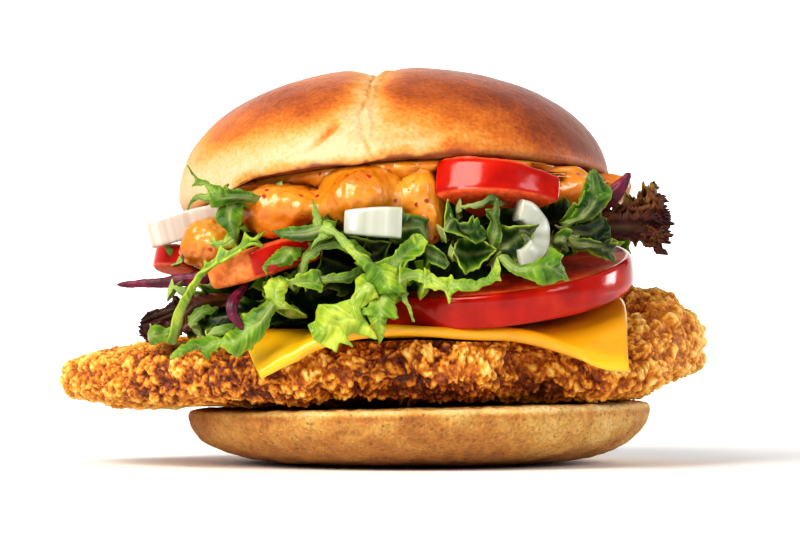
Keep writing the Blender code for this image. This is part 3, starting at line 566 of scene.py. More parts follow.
def crown_cut_z(x, y):
    """The crown's cut face: a plane that rises to the right and to the front, drooping at both ends."""
    across, deep = CROWN_CUT_SLOPE
    droop = 2.6 * smooth_step((-x - 36.0) / 12.0) + 0.9 * bell(x - 36.0, 13.0)
    return CROWN_CUT_Z + across * (x - CROWN_CENTRE[0]) + deep * (y - CROWN_CENTRE[1]) - droop


def crown_profile(turn, dome):
    """(radius share, height) at a turn from 0 at the top to pi below: a full dome over a flatter half."""
    lean = np.abs(np.sin(turn))
    upper = np.stack([lean ** (2 / 2.2), CROWN_EQUATOR_Z + dome * np.cos(turn)], -1)
    lower = np.stack([lean**0.75, CROWN_EQUATOR_Z + CROWN_TUCK * np.cos(turn)], -1)
    return np.where((turn < math.pi / 2)[..., None], upper, lower)


def split_x(y):
    """The split's place across, which curves to the left as it comes down the front."""
    return SPLIT_X - SPLIT_BEND * np.minimum(y, 0.0) ** 2 + SPLIT_LEAN * np.maximum(y, 0.0)


def crease(x, z, start, end, width):
    """A bell across a straight line in the front view, from start to end."""
    start, end = np.array(start), np.array(end)
    line = end - start
    t = np.clip(((x - start[0]) * line[0] + (z - start[1]) * line[1]) / (line @ line), 0.0, 1.0)
    distance = np.hypot(x - start[0] - t * line[0], z - start[1] - t * line[1])
    return bell(distance, width) * np.sqrt(np.clip(4.0 * t * (1.0 - t) + 0.15, 0.0, 1.0))


# Creases in the front of the crown, as (start, end, width, depth) in the front view
CREASES = (
    ((-18.2, 79.2), (-23.7, 74.3), 0.8, 1.3),
    ((-23.7, 74.3), (-26.2, 72.6), 0.6, 0.6),
    ((-12.6, 76.2), (-10.2, 71.6), 0.45, 0.6),
    ((-10.2, 75.4), (3.5, 76.6), 0.9, 0.4),
)


def crown_form(settings):
    """Meridians that follow crown_profile from the top down to the slanted cut face, each row at the
    same share of its meridian. The split sinks by a bell across it. Gives the grid and the shares."""
    radius, dome = settings.crown_radius / MM, settings.crown_dome / MM
    centre_x, centre_y, _ = CROWN_CENTRE
    angle = front_angles(settings.columns)
    edge_x = centre_x + radius * np.cos(angle)
    edge_z = crown_cut_z(edge_x, centre_y + radius * np.sin(angle))
    over = np.clip((edge_z - CROWN_EQUATOR_Z) / dome, 0.0, 1.0)
    under = np.clip((CROWN_EQUATOR_Z - edge_z) / CROWN_TUCK, 0.0, 1.0)
    last = np.where(edge_z > CROWN_EQUATOR_Z, np.arccos(over), math.pi / 2 + np.arcsin(under))
    reach = radius * (1.0 + 0.008 * np.sin(2 * angle + 1.0) + 0.006 * np.sin(3 * angle))
    share = np.linspace(0.004, 1.0, settings.rows)[:, None]
    turn = last * share
    form = crown_profile(turn, dome)
    x = centre_x + form[..., 0] * reach * np.cos(angle)
    y = centre_y + form[..., 0] * reach * np.sin(angle)
    steep = np.sqrt(np.clip(np.cos(turn), 0.0, 1.0))
    sunk = settings.split_depth / MM * bell(x - split_x(y), 4.5) * steep
    return points_at(x, y, form[..., 1] + CROWN_LEAN * (x - centre_x) - sunk), share


def crown_bake_light_and_shade(grid, share, x, z, away, front):
    """How brown the crust is, 0 to 1: more with height, least beside the split and on the lower
    left, mottled in a band high on the right, browner low on the right front and paler under that, and
    less brown at the top of the left lobe, a painted sheen. Gives that, and how far its rim is toasted."""
    left, right = smooth_step((-x - 2.0) / 12.0), smooth_step((x + 2.0) / 14.0)
    height = z + 5.0 * ((x - CROWN_CENTRE[0]) / 48.0) ** 2 + 4.5 * smooth_step((x - 8.0) / 30.0)
    bake = smooth_step((height - 71.5) / (16.0 + 2.0 * left) + 0.12 * layered_noise(grid, 13.0, 37))
    browning_and_sheen = right * bell(z - 83.0, 5.0) * layered_noise(grid, 9.0, 42)
    browning_and_sheen += 1.5 * smooth_step((x - 16.0) / 20.0) * bell(z - 74.5, 4.5) * front
    browning_and_sheen -= 1.2 * smooth_step((x - 8.0) / 16.0) * smooth_step((71.5 - z) / 4.0) * front
    # a painted sheen: less brown at the top of the left lobe
    browning_and_sheen -= 1.6 * left * smooth_step((z - 88.0) / 6.0)
    bake = bake * (0.84 - 0.28 * right) + right * (0.4 - 0.12 * bell(x - 4.0, 12.0)) + 0.14 * browning_and_sheen
    pale = bell(away, 4.6 + 8.0 * smooth_step((86.0 - z) / 14.0)) * smooth_step((z - 60.0) / 6.0)
    bake *= 1.0 - 0.92 * pale * (0.75 + 0.25 * soft_noise(grid, 3.0, 38))
    # what the oven did close to the rim, by the distance from it
    off_rim = (1.0 - share) * 60.0
    toast = smooth_step((1.7 + 0.8 * layered_noise(grid, 3.0, 39) - off_rim) / 1.8)
    toast *= 0.9 - 0.65 * smooth_step((x - 2.0) / 22.0)
    scorch = smooth_step((5.0 + 1.5 * layered_noise(grid, 4.0, 44) - off_rim) / 4.5)
    return bake + (0.42 - 0.5 * smooth_step((x - 4.0) / 24.0)) * scorch, toast


def crown_cut(rim):
    """The cut face: rings from the rim to the middle on crown_cut_z, with an open crumb."""
    inward = np.concatenate([[0.995, 0.985], np.linspace(0.965, 0.05, 26)])[:, None]
    x = CROWN_CENTRE[0] + (rim[:, 0] - CROWN_CENTRE[0]) * inward
    y = CROWN_CENTRE[1] + (rim[:, 1] - CROWN_CENTRE[1]) * inward
    cut = points_at(x, y, crown_cut_z(x, y) - 0.25 * smooth_step((1.0 - inward) / 0.02))
    cut[..., 2] -= 0.25 * layered_noise(cut, 2.0, 40) * smooth_step((1.0 - inward) / 0.03)
    return cut


def crown(settings):
    """The domed half: crown_form with a torn crack along the split, a lip on each side of it, the
    creases of the front, a softly uneven skin, and crown_cut below. The crack and the creases are painted
    browner as shade, and the cut face is nearly all the toasted colour, darkened as painted shade."""
    grid, share = crown_form(settings)
    x, y, z = np.moveaxis(grid, -1, 0)
    away = x - split_x(y)
    front = smooth_step(-y / 12.0)
    torn = away + 1.5 * soft_noise(grid, 6.0, 31) + 0.6 * soft_noise(grid, 2.0, 32)
    above = smooth_step((z - CROWN_EQUATOR_Z - 5.0) / 8.0)
    crack = bell(torn, 0.55) * above * (0.65 + 0.35 * soft_noise(grid, 4.0, 43))
    fold = sum(depth * crease(x, z, start, end, width) * front for start, end, width, depth in CREASES)
    relief = (0.45 + 0.35 * np.sign(torn)) * bell(np.abs(torn) - 1.7, 0.9) * above - 0.9 * crack - fold
    relief += 0.35 * layered_noise(grid, 2.6, 33) * bell(away, 4.0) * above
    relief += 0.45 * soft_noise(grid, 16.0, 34) + 0.1 * soft_noise(grid, 5.0, 35)
    relief += 0.05 * layered_noise(grid, 1.6, 36, 2)
    grid = raised(grid, relief * (1.0 - smooth_step((share - 0.985) / 0.015)))
    bake, toast = crown_bake_light_and_shade(grid, share, x, z, away, front)
    cut = crown_cut(grid[-1])
    # the cut face: toasted, and darkened as painted shade under the crown
    cut_toast = np.clip(0.85 + 0.3 * layered_noise(cut, 6.0, 41), 0.0, 1.0)
    cut_bake = np.full(cut_toast.shape, 0.35)
    # the crack and the creases are browner: painted shade
    return Skin().add(np.concatenate([grid, cut]), closed=True,
                      bake=np.concatenate([bake + 0.08 * crack + 0.3 * fold, cut_bake]),
                      toast=np.concatenate([toast, cut_toast])).piece("crown_crust")


def heel_cut_z(x):
    """The heel's cut face, which rises to the right."""
    return HEEL_HEIGHT + HEEL_SLOPE * x


def heel(settings):
    """The flat half: a foot, a side that is a superellipse's quarter, and a level cut face with a
    short rounded edge."""
    radius = settings.heel_radius / MM
    angle = front_angles(settings.columns)
    reach = radius * (1.0 + 0.008 * np.sin(2 * angle + 0.6) + 0.006 * np.sin(3 * angle + 2.0))
    turn = np.linspace(0.0, math.pi / 2, 400)
    side = np.stack([np.cos(turn) ** 0.42, 0.9 * (1.0 - np.sin(turn))], -1)
    side = side[side[:, 0] > HEEL_FOOT_SHARE]
    lip = np.stack([0.955 + 0.045 * np.sin(turn[::40]), 0.9 + 0.1 * np.cos(turn[::40])], -1)
    level = np.stack([np.linspace(0.02, 0.95, 40), np.ones(40)], -1)
    foot = np.stack([np.linspace(HEEL_FOOT_SHARE, 0.02, 16), np.zeros(16)], -1)
    profile = np.concatenate([level, lip, side, foot])
    weight = np.where((profile[:, 1] < 0.999) & (profile[:, 1] > 0.0), 1.0, 0.35)
    at = even_shares(profile * (radius, HEEL_HEIGHT), HEEL_ROWS, weight)
    out, up = (np.interp(at, np.arange(len(profile)), line)[:, None] for line in profile.T)
    x = reach * out * np.cos(angle)
    grid = points_at(x, reach * out * np.sin(angle), DATUM + (heel_cut_z(x) - DATUM) * up)
    on_side = smooth_step(up / 0.12) * smooth_step((1.0 - up) / 0.05)
    on_top = smooth_step((up - 0.985) / 0.015)
    relief = 0.4 * soft_noise(grid, 15.0, 51) + 0.28 * layered_noise(grid, 5.0, 52)
    relief += 0.1 * soft_noise(grid, 1.5, 53)
    pits = np.clip(ball_relief(grid, 3.4, 54, 0.3) - 0.12, 0.0, None)
    grid = raised(grid, (relief - 1.8 * pits) * on_side)
    grid[..., 2] += 0.3 * layered_noise(grid, 2.2, 55) * on_top
    # browner low down as painted shade where the side turns under, and in patches; paler along the top
    #     # edge and towards the right
    bake = 0.68 + 0.16 * soft_noise(grid, 18.0, 56) + 0.35 * smooth_step((0.4 - up) / 0.4)
    bake -= 0.4 * bell(up - 0.97, 0.06) + 0.22 * smooth_step((x - 15.0) / 30.0)
    bake += 0.22 * bell(up - 0.86, 0.05) * (0.5 + soft_noise(grid, 9.0, 57)) + 0.2 * on_top
    return Skin().add(grid, closed=True, bake=np.clip(bake, 0.0, 1.0)).piece("heel_crust")


# --- cutlet and cheese ------------------------------------------------------------------------


def cheese_rest_z(x, y):
    """The slice's top before its front hangs: level, and rising to the right where the cutlet does."""
    rise = smooth_step((x - 15.0) / 32.0) * smooth_step((y + 52.0) / 30.0)
    return CHEESE_Z + CHEESE_RISE * rise


def cheese_front_z(x):
    """The height of the hanging front edge: lowest at its two corners."""
    right = 1.6 * smooth_step((x + 4.0) / 18.0) + 7.0 * smooth_step((x - 18.0) / 26.0)
    left = 10.8 * np.exp(-((np.maximum(x + 37.0, 0.0) / 13.0) ** 1.3))
    return CHEESE_EDGE_Z - right - left


def cheese_top_z(x, y):
    """The rest height, less a fall that grows as the square of the way into the fold."""
    hang = (1.0 - np.clip((y - CHEESE_FRONT_Y) / CHEESE_FOLD, 0.0, 1.0)) ** 2
    return cheese_rest_z(x, y) - (cheese_rest_z(x, CHEESE_FRONT_Y) - cheese_front_z(x)) * hang


def cheese(settings):
    """A square sheet over cheese_top_z. Its edges wander, its front swells where it has run, and its
    thickness closes in a quarter round at every edge."""
    s, t = np.linspace(-1.0, 1.0, 190)[:, None], np.linspace(0.0, 1.0, 150) ** 1.4
    x = CHEESE_CENTRE_X + CHEESE_SIDE / 2 * s
    y = CHEESE_FRONT_Y + CHEESE_SIDE * t + 1.2 * np.sin((x + 4.0) / 13.0) * (1.0 - t)
    x = x + 0.5 * np.sin(y / 7.0) * s - 0.34 * np.minimum(y - CHEESE_FRONT_Y, 9.0) * bell(s + 1.0, 0.5)
    z = cheese_top_z(x, y)
    flat = points_at(x, y, z)
    y = y + 0.5 * soft_noise(flat, 9.0, 61) * (1.0 - t) ** 4
    z = z + 0.3 * soft_noise(flat, 12.0, 62) * (1.0 - t) ** 2
    z = z - 0.5 * bell(x + 27.0 - 0.4 * (y + 50.0), 2.2) * (1.0 - t) ** 6
    middle = points_at(x, y, z)
    normal = grid_normals(middle, wrap=False)
    normal *= np.sign(normal[..., 2:])
    half = settings.thickness / MM / 2.0
    middle = middle - normal * half
    edge = np.minimum((1.0 - np.abs(s)) * CHEESE_SIDE / 2, np.minimum(t, 1.0 - t) * CHEESE_SIDE)
    swell = 1.0 + 0.35 * bell(t - 0.02, 0.02) * (0.6 + 0.4 * soft_noise(middle, 11.0, 63))
    swell -= 0.3 * bell(x - 2.0, 18.0) * (1.0 - t) ** 4
    round_in = np.sqrt(np.clip(1.0 - (1.0 - np.clip(edge / half, 0.0, 1.0)) ** 2, 0.0, 1.0))
    offset = normal * (half * swell * round_in)[..., None]
    loop = np.concatenate([middle + offset, (middle - offset)[:, ::-1][:, 1:-1]], axis=1)[1:-1]
    # deepest in colour over the cutlet's warm middle, where it is thinnest, and towards the right, where
    #     # the deeper colour is painted shade
    melt = 0.6 * bell(loop[..., 0] - 6.0, 17.0) + 0.62 * smooth_step((loop[..., 0] - 10.0) / 20.0)
    melt *= (0.8 + 0.3 * soft_noise(loop, 10.0, 64)) * smooth_step((loop[..., 2] - 21.0) / 7.0)
    return Skin().add(loop, closed=True, melt=melt).piece("cheese_sheet")


def cutlet_bounds(x, y):
    """(top, bottom) heights of the crumbed cutlet at a place in plan."""
    lobe_x, lobe_y = (x - LOBE_CENTRE[0]) / LOBE_SPREAD[0], (y - LOBE_CENTRE[1]) / LOBE_SPREAD[1]
    lobe = LOBE_RISE * np.exp(-((lobe_x**2 + lobe_y**2) ** 1.5))
    top = CUTLET_TOP_Z + lobe + 3.0 * bell(x - 8.0, 26.0) - smooth_step((-x - 50.0) / 25.0)
    lift = LOBE_LIFT * smooth_step((x - 48.0) / 20.0) - 0.8 * smooth_step((-x - 52.0) / 15.0)
    return top, CUTLET_BOTTOM_Z + lift


def cutlet_reach(angle):
    """The plan outline's distance from the centre: an uneven oval with a tapered left end and a notch."""
    x, y = np.abs(np.cos(angle) / CUTLET_HALF[0]), np.abs(np.sin(angle) / CUTLET_HALF[1])
    oval = (x**CUTLET_POWER + y**CUTLET_POWER) ** (-1 / CUTLET_POWER)
    uneven = 1.0 + 0.02 * np.sin(5 * angle + 1.0) + 0.015 * np.sin(9 * angle)
    away = (angle - math.radians(NOTCH_ANGLE) + math.pi) % (2 * math.pi) - math.pi
    return oval * uneven * (1.0 - NOTCH_DEPTH * bell(away, NOTCH_SPREAD))


def cutlet(settings):
    """Rings over a thick rounded edge, with five sizes of crumb ball standing out of them, bent by
    noise. The clefts between the clumps stay low and are painted dark as shade, and the lower middle is
    hollowed and painted dark as shade too."""
    # columns crowd at the front, and rows on the edge
    turn = np.linspace(0.0, 2 * math.pi, 3601)
    outline = cutlet_reach(turn)[:, None] * np.stack([np.cos(turn), np.sin(turn)], -1)
    weight = 0.22 + 0.78 * smooth_step((14.0 - outline[:, 1]) / 18.0)
    at = even_shares(outline, settings.columns + 1, weight)[:-1]
    angle = np.interp(at, np.arange(len(turn)), turn)
    lean = np.linspace(0.0, math.pi, 600)
    out, up = np.abs(np.sin(lean)) ** 0.45, signed_power(np.cos(lean), 0.5)
    weight = np.where(out > 0.75, 1.0, 0.2) * np.where(up < -0.93, 0.4, 1.0)
    at = even_shares(np.stack([out * 60.0, up * 8.5], -1), settings.rows, weight)
    out, up = (np.interp(at, np.arange(len(lean)), line)[:, None] for line in (out, up))
    out = np.maximum(out, 0.01)
    x = CUTLET_CENTRE[0] + cutlet_reach(angle) * out * np.cos(angle)
    y = CUTLET_CENTRE[1] + cutlet_reach(angle) * out * np.sin(angle)
    y = y * (1.0 - 0.3 * smooth_step((-x - 50.0) / 36.0))
    top, bottom = cutlet_bounds(x, y)
    z = (top + bottom) / 2.0 + up * (top - bottom) / 2.0
    # a craggy edge
    grid = points_at(x, y, z)
    crag = 1.1 * soft_noise(grid, 9.0, 3) + 0.8 * soft_noise(grid, 5.0, 4)
    hollow = bell(x - 2.0, 32.0) * bell(z - 17.8, 3.6) * (0.65 + 0.35 * soft_noise(grid, 9.0, 78))
    away = points_at(np.cos(angle) * out**6, np.sin(angle) * out**6, 0.7 * up)
    grid = grid + away * (crag - 4.0 * hollow)[..., None]
    # crumb, from clumps down to grit
    bent = grid + 0.9 * noise_vector(grid, 2.4, 70)
    bent = bent + 0.3 * noise_vector(grid, 0.9, 70)
    clump = ball_relief(bent, 6.5, 74, 0.7)
    lump = ball_relief(bent, 3.5, 77, 0.66)
    knob = ball_relief(bent, 1.9, 75, 0.64)
    crumb = ball_relief(bent, 1.1, 76, 0.62)
    grit = ball_relief(grid, 0.7, 79, 0.6)
    middle = bell(x - 12.0, 34.0)
    relief = (1.3 + 1.5 * middle) * clump + 1.5 * lump + 1.15 * knob + 0.85 * crumb + 0.35 * grit
    grid = raised(grid, settings.crag / MM * (relief - 2.4 - 0.6 * middle))
    # how far each point stands out, for its colour: painted highlight on the crests, painted shade in
    #     # the clefts and the hollow
    crest = smooth_step((0.7 * lump + 0.95 * knob + crumb + 0.4 * grit - 0.3) / 1.25) * (0.85 + 0.25 * clump)
    cleft_shade = middle * smooth_step((0.34 - clump) / 0.3)
    crest = 0.18 + 0.86 * crest - 0.66 * np.clip(hollow, 0.0, 1.0) - 0.4 * cleft_shade
    crest -= 0.12 * soft_noise(grid, 12.0, 80) + 0.07 * smooth_step((-x - 20.0) / 20.0)
    keep_clear(grid)
    return Skin().add(grid, closed=True, crest=np.clip(crest, 0.0, 1.0)).piece("cutlet_crumb")


def keep_clear(grid):
    """Presses the cutlet's points flat against the heel's cut face below and the cheese above."""
    x, y, z = np.moveaxis(grid, -1, 0)
    low = heel_cut_z(x) + 0.35
    z[:] = np.where((np.hypot(x, y) < 54.0) & (z < low), low, z)
    beside = np.abs(x - CHEESE_CENTRE_X) - CHEESE_SIDE / 2
    behind = y - CHEESE_FRONT_Y
    under_cheese = (beside < 0.4) & (behind > -1.0) & (behind < CHEESE_SIDE)
    high = cheese_top_z(x, y) - CHEESE_THICKNESS * 1.15
    z[:] = np.where(under_cheese & (z > high), high, z)


# --- tomato, onion, shreds --------------------------------------------------------------------


def placed(grid, at, turn):
    """Turns a grid about X, then Y, then Z by degrees, and moves it."""
    rotation = Euler([math.radians(angle) for angle in turn], "XYZ").to_matrix()
    return grid @ np.array(rotation).T + at


def tomato_disc(radius, thickness, at, turn):
    """A slice right across: two cut faces and a swelling skin between them. The faces dip a little
    inside the skin and are wet and uneven."""
    angle = front_angles(300)
    reach = radius * (1.0 + 0.012 * np.sin(2 * angle) + 0.01 * np.sin(5 * angle + 1.0))
    lean = np.linspace(math.pi / 2, -math.pi / 2, 34)
    face = np.linspace(0.03, 0.945, 44)
    rim_out = 0.955 + 0.045 * np.abs(np.cos(lean)) ** 0.7
    rim_up = signed_power(np.sin(lean), 0.75)
    out = np.concatenate([face, rim_out, face[::-1]])[:, None]
    up = np.concatenate([np.ones(44), rim_up, -np.ones(44)])[:, None]
    on_skin = np.repeat((0.0, 1.0, 0.0), (44, 34, 44))[:, None]
    grid = points_at(reach * out * np.cos(angle), reach * out * np.sin(angle), thickness / 2 * up)
    on_face = (1.0 - on_skin) * smooth_step((0.97 - out) / 0.06)
    grid[..., 2] += np.sign(up) * on_face * (0.3 * layered_noise(grid, 5.0, 81) - 0.25)
    grid[..., 2] += 0.12 * on_skin * soft_noise(grid, 9.0, 82)
    pale = 0.5 * bell(out - 0.9, 0.05) * (1.0 - on_skin)
    return Skin().add(placed(grid, at, turn), closed=True, skin=on_skin, pale=pale)


def tomato_cut(radius, thickness, at, turn, first, last, flesh_below=-200.0, taper=0.0):
    """Part of a slice between two angles. The outline is an arc of skin and straight cuts to a core,
    rounded by averaging, and the section is a superellipse, a share taper thinner a radius to the
    right. flesh_below is an angle under which the arc shows cut wall instead of skin."""
    arc = np.radians(np.linspace(first, last, 90))
    outline = np.stack([np.cos(arc), np.sin(arc)], -1)
    turns = np.radians([last, (first + last) / 2, first])
    corners = [outline[-1], *(TOMATO_CORE * np.stack([np.cos(turns), np.sin(turns)], -1)), outline[0]]
    cuts = [np.linspace(a, b, 30)[1:] for a, b in zip(corners[:-1], corners[1:])]
    outline = np.concatenate([outline, *cuts])[:-1] * radius
    on_arc = np.zeros(len(outline))
    on_arc[:90] = smooth_step((np.degrees(arc) - flesh_below) / 3.0)
    for _ in range(3):
        outline = (np.roll(outline, 1, 0) + outline + np.roll(outline, -1, 0)) / 3.0
    lean = np.linspace(0.02, math.pi - 0.02, 60)[:, None]
    up = signed_power(np.cos(lean), 0.42)
    inner = outline.mean(0)
    x, y = (inner + (outline - inner) * (np.sin(lean) ** 0.17)[..., None]).transpose(2, 0, 1)
    grid = points_at(x, y, thickness / 2 * up * (1.0 - taper * x / radius))
    peel = on_arc * smooth_step((0.42 - np.abs(up) / 2) / 0.06)
    grid = raised(grid, 0.22 * layered_noise(grid, 3.5, 83) * (1.0 - 0.8 * peel))
    seen_at = np.degrees(np.arctan2(outline[:, 1], outline[:, 0]))
    pale = 0.25 + (1.0 - peel) * smooth_step((flesh_below + 8.0 - seen_at) / 10.0)
    return Skin().add(placed(grid, at, turn), closed=True, skin=peel, pale=np.clip(pale, 0.0, 1.0))


def tomatoes():
    """One slice under the salad, half a slice under the crown, and two cut pieces on the left."""
    finish = tomato_material()
    lower = tomato_disc(31.0, 7.6, (19.0, -25.0, 43.7), (12.5, -6.5, 0.0))
    upper = tomato_cut(21.0, 8.6, (17.0, -34.5, 60.6), (-19.0, 5.5, 0.0), -132.0, -46.0, taper=0.3)
    near = tomato_cut(21.0, 7.0, (-35.2, -33.0, 49.0), (3.0, -16.5, 0.0), -128.0, -48.0, flesh_below=-98.0)
    far = tomato_cut(15.0, 5.6, (-47.5, -14.0, 47.6), (-6.0, 10.0, 0.0), 150.0, 245.0)
    dress(lower.piece("tomato_disc_lower"), finish, "tomato_slice_lower")
    dress(upper.piece("tomato_half_upper"), finish, "tomato_slice_upper")
    dress(near.piece("tomato_cut_near"), finish, "tomato_wedge_near")
    dress(far.piece("tomato_cut_far"), finish, "tomato_wedge_far")


def onion_band(radius, height, thick, sweep, at, turn, blush, taper):
    """An arc of an onion ring, facing -Y: a superellipse section swept through an angle, a share
    taper shorter at its left end and taller at its right."""
    station = np.radians(np.linspace(-sweep / 2, sweep / 2, 110) - 90.0)[:, None]
    lean = circle(72)
    reach = (radius + thick / 2 * signed_power(np.cos(lean), 0.45)) * (1.0 + 0.012 * np.sin(station * 9.0))
    tall = np.linspace(1.0 - taper, 1.0 + taper, 110)[:, None] + 0.03 * np.sin(station * 7.0)
    z = height / 2 * signed_power(np.sin(lean), 0.28) * tall
    grid = points_at(reach * np.cos(station), reach * np.sin(station), z)
    return Skin().add(placed(grid, at, turn), closed=True, arc=station * radius, blush=blush)


# The onion's bands: radius, height, thickness, sweep, place, turn, blush and taper
ONIONS = {
    "onion_left": (22.0, 6.4, 2.8, 46.0, (-53.5, -6.0, 57.2), (0.0, -15.0, 0.0), 0.9, -0.04),
    "onion_front": (15.0, 6.4, 2.8, 46.0, (-8.1, -42.5, 54.5), (-8.0, 1.0, -8.0), 0.0, 0.13),
    "onion_right": (5.8, 6.0, 4.9, 154.0, (20.8, -53.5, 53.8), (90.0, -90.0, 16.0), 0.0, 0.0),
}

# The shreds: route, and the widths that it passes through
SHREDS = {
    "cabbage_shred_left": (((-69.5, -30, 43.2), (-58, -34, 43.7), (-47, -38, 45.0)), (1.0, 2.4, 3.3)),
    "cabbage_shred_front": (
        ((-38.4, -50, 43.0), (-41.2, -56, 39.0), (-41.0, -57, 36.0), (-38.6, -57.5, 32.6)),
        (1.3, 2.3, 2.3, 0.6)),
    "cabbage_shred_right": (((41, -22, 60.5), (45.5, -25, 64.6), (49.3, -25, 69.4)), (3.2, 3.8, 1.2)),
}


def onions():
    """Three bands of raw onion."""
    finish = onion_material()
    for node, form in ONIONS.items():
        dress(onion_band(*form).piece(node + "_layer"), finish, node)


def shreds():
    """Cabbage shreds: strips of flattened section along a route, ridged lengthways and tapering."""
    finish = cabbage_material()
    t = np.linspace(0.0, 1.0, 90)
    lean = circle(40)
    ridge = 1.0 + 0.1 * np.cos(5 * lean + 1.0) + 0.06 * np.cos(9 * lean)
    wide, flat = (ridge * np.cos(lean))[:, None], (0.6 * ridge * np.sin(lean))[:, None]
    ends = np.sqrt(np.clip(np.minimum(t, 1.0 - t) * 18.0, 0.04, 1.0))
    for node, (route, widths) in SHREDS.items():
        line = smooth_path(route, t)
        width = np.interp(t, np.linspace(0.0, 1.0, len(widths)), widths) * ends
        along = unit(np.gradient(line, axis=0))
        across = unit(np.cross(along, (0.0, 1.0, 0.0)))
        offset = across[:, None] * wide + np.cross(across, along)[:, None] * flat
        grid = line[:, None] + offset * width[:, None, None] / 2
        grid = grid + unit(offset) * (0.18 * layered_noise(grid, 2.0, 91))[..., None]
        dress(Skin().add(grid, closed=True).piece(node + "_strip"), finish, node)


# --- sauce ------------------------------------------------------------------------------------


# Each dollop is (centre, half sizes)
DOLLOPS = (
    ((-30.5, -40.0, 60.0), (11.0, 9.0, 6.0)),
    ((-21.5, -42.0, 60.2), (5.0, 6.5, 4.0)),
    ((-12.6, -44.0, 61.8), (10.2, 11.0, 8.0)),
    ((0.6, -43.0, 61.6), (6.2, 8.5, 7.2)),
    ((35.0, -34.0, 64.6), (7.5, 8.0, 5.6)),
    ((44.5, -14.0, 66.3), (5.0, 7.0, 4.2)),
    ((2.0, -44.5, 56.4), (4.5, 6.0, 4.5)),
    ((-42.0, 14.0, 58.0), (8.0, 10.0, 6.0)),
    ((-18.0, 37.0, 57.5), (12.0, 8.0, 6.0)),
    ((28.0, 31.0, 60.0), (10.0, 9.0, 5.5)),
)
SLID_DOLLOP = ((-47.3, -32.0, 52.1), (7.4, 9.0, 6.4))


def sauce_layer(settings):
    """A spread layer whose radius at each angle and height is a soft maximum, ln(sum(exp(k r))) / k,
    of the layer's own edge and of how far a ray from the middle runs before it leaves each dollop."""
    angle = front_angles(settings.columns)
    dx, dy = np.cos(angle), np.sin(angle)
    depth = np.linspace(-0.3, 18.0, settings.rows)[:, None]
    edge = 43.5 * (1.0 + 0.03 * np.sin(4 * angle) + 0.025 * np.sin(7 * angle + 1.0))
    radius = edge * (1.0 - 0.02 * (depth < 0.0)) - 16.0 * smooth_step((depth - 1.0) / SAUCE_DEPTH)
    radius = radius + 5.2 * smooth_step((-dy - 0.1) / 0.6)
    z = crown_cut_z(CROWN_CENTRE[0] + 42.0 * dx, 42.0 * dy) - depth
    total = np.exp(SAUCE_SHARPNESS * (radius - SAUCE_REACH))
    for (cx, cy, cz), (hx, hy, hz) in DOLLOPS:
        # where the ray leaves the ellipsoid: the larger root of a t^2 + 2 b t + c
        ox, oy = CROWN_CENTRE[0] - cx, -cy
        a = (dx / hx) ** 2 + (dy / hy) ** 2
        b = dx * ox / hx**2 + dy * oy / hy**2
        c = (ox / hx) ** 2 + (oy / hy) ** 2 + ((z - cz) / hz) ** 2 - 1.0
        inside = b * b - a * c
        leaves_at = (-b + np.sqrt(np.clip(inside, 0.0, None))) / a
        total += np.where(inside > 0.0, np.exp(SAUCE_SHARPNESS * (leaves_at - SAUCE_REACH)), 0.0)
    radius = SAUCE_REACH + np.log(total) / SAUCE_SHARPNESS
    grid = points_at(CROWN_CENTRE[0] + radius * dx, radius * dy, z)
    relief = 1.6 * soft_noise(grid, 8.5, 8) + 0.6 * layered_noise(grid * (1.0, 1.0, 0.6), 3.8, 101)
    grid = raised(grid, relief * smooth_step((depth + 0.3) / 1.5))
    return Skin().add(grid, closed=True).piece("sauce_layer")


def sauce_dollop():
    """A dollop that has slid out over the tomato: a ball with a lumpy, sagging skin."""
    angle = circle(160)
    turn = np.linspace(0.03, math.pi - 0.03, 100)[:, None]
    ball = points_at(np.sin(turn) * np.cos(angle), np.sin(turn) * np.sin(angle), np.cos(turn))
    x, y, z = np.moveaxis(ball, -1, 0)
    drip = bell(x - 0.35, 0.3) * np.clip(-z, 0.0, 1.0) ** 3 * np.clip(0.4 - y, 0.0, 1.0)
    centre, half = SLID_DOLLOP
    grid = np.array(centre) + ball * half
    grid = grid + ball * (1.1 * layered_noise(grid, 4.6, 103) + 2.4 * drip)[..., None]
    return Skin().add(grid, closed=True).piece("sauce_slid")


# --- salad ------------------------------------------------------------------------------------


def saw(place, heights):
    """Triangular teeth along place: 1 at each middle, 0 between, times that tooth's own height."""
    index = np.floor(place).astype(int) % len(heights)
    return heights[index] * (1.0 - np.abs(2.0 * (place % 1.0) - 1.0))


def half_width(u, chance, sign, width, lobes, depth, teeth, fan, stem, spikes):
    """A leaf's half width at u on the side of that sign: width times an outline that closes at the
    tip, or opens to a rounded end where fan is 1, less depth between the lobes, plus fine teeth, the
    stem and the spikes of that side, each (u, length, spread)."""
    closed = np.sin(math.pi * np.minimum(u, 0.995) ** 1.25) ** 0.8
    outline = (1.0 - fan) * closed + fan * u**0.8
    place = u * lobes + 0.3 * np.sin(2 * math.pi * (1.3 * u + chance.uniform())) + chance.uniform(0.3, 0.9)
    lobe = 1.0 - depth + depth * saw(place, chance.uniform(0.35, 1.0, lobes + 3)) ** 1.25
    fine = saw(u * lobes * 4.3 + chance.uniform(), chance.uniform(0.0, 1.0, lobes * 5 + 2))
    half = width * outline * (lobe + teeth * fine) + stem * (1.0 - 0.75 * u) * (1.0 - u**8) + 0.12
    for at, length, spread in spikes:
        if sign * at > 0.0:
            half = half + length * np.clip(1.0 - np.abs(u - abs(at)) / spread, 0.0, 1.0) ** 1.5
    return half


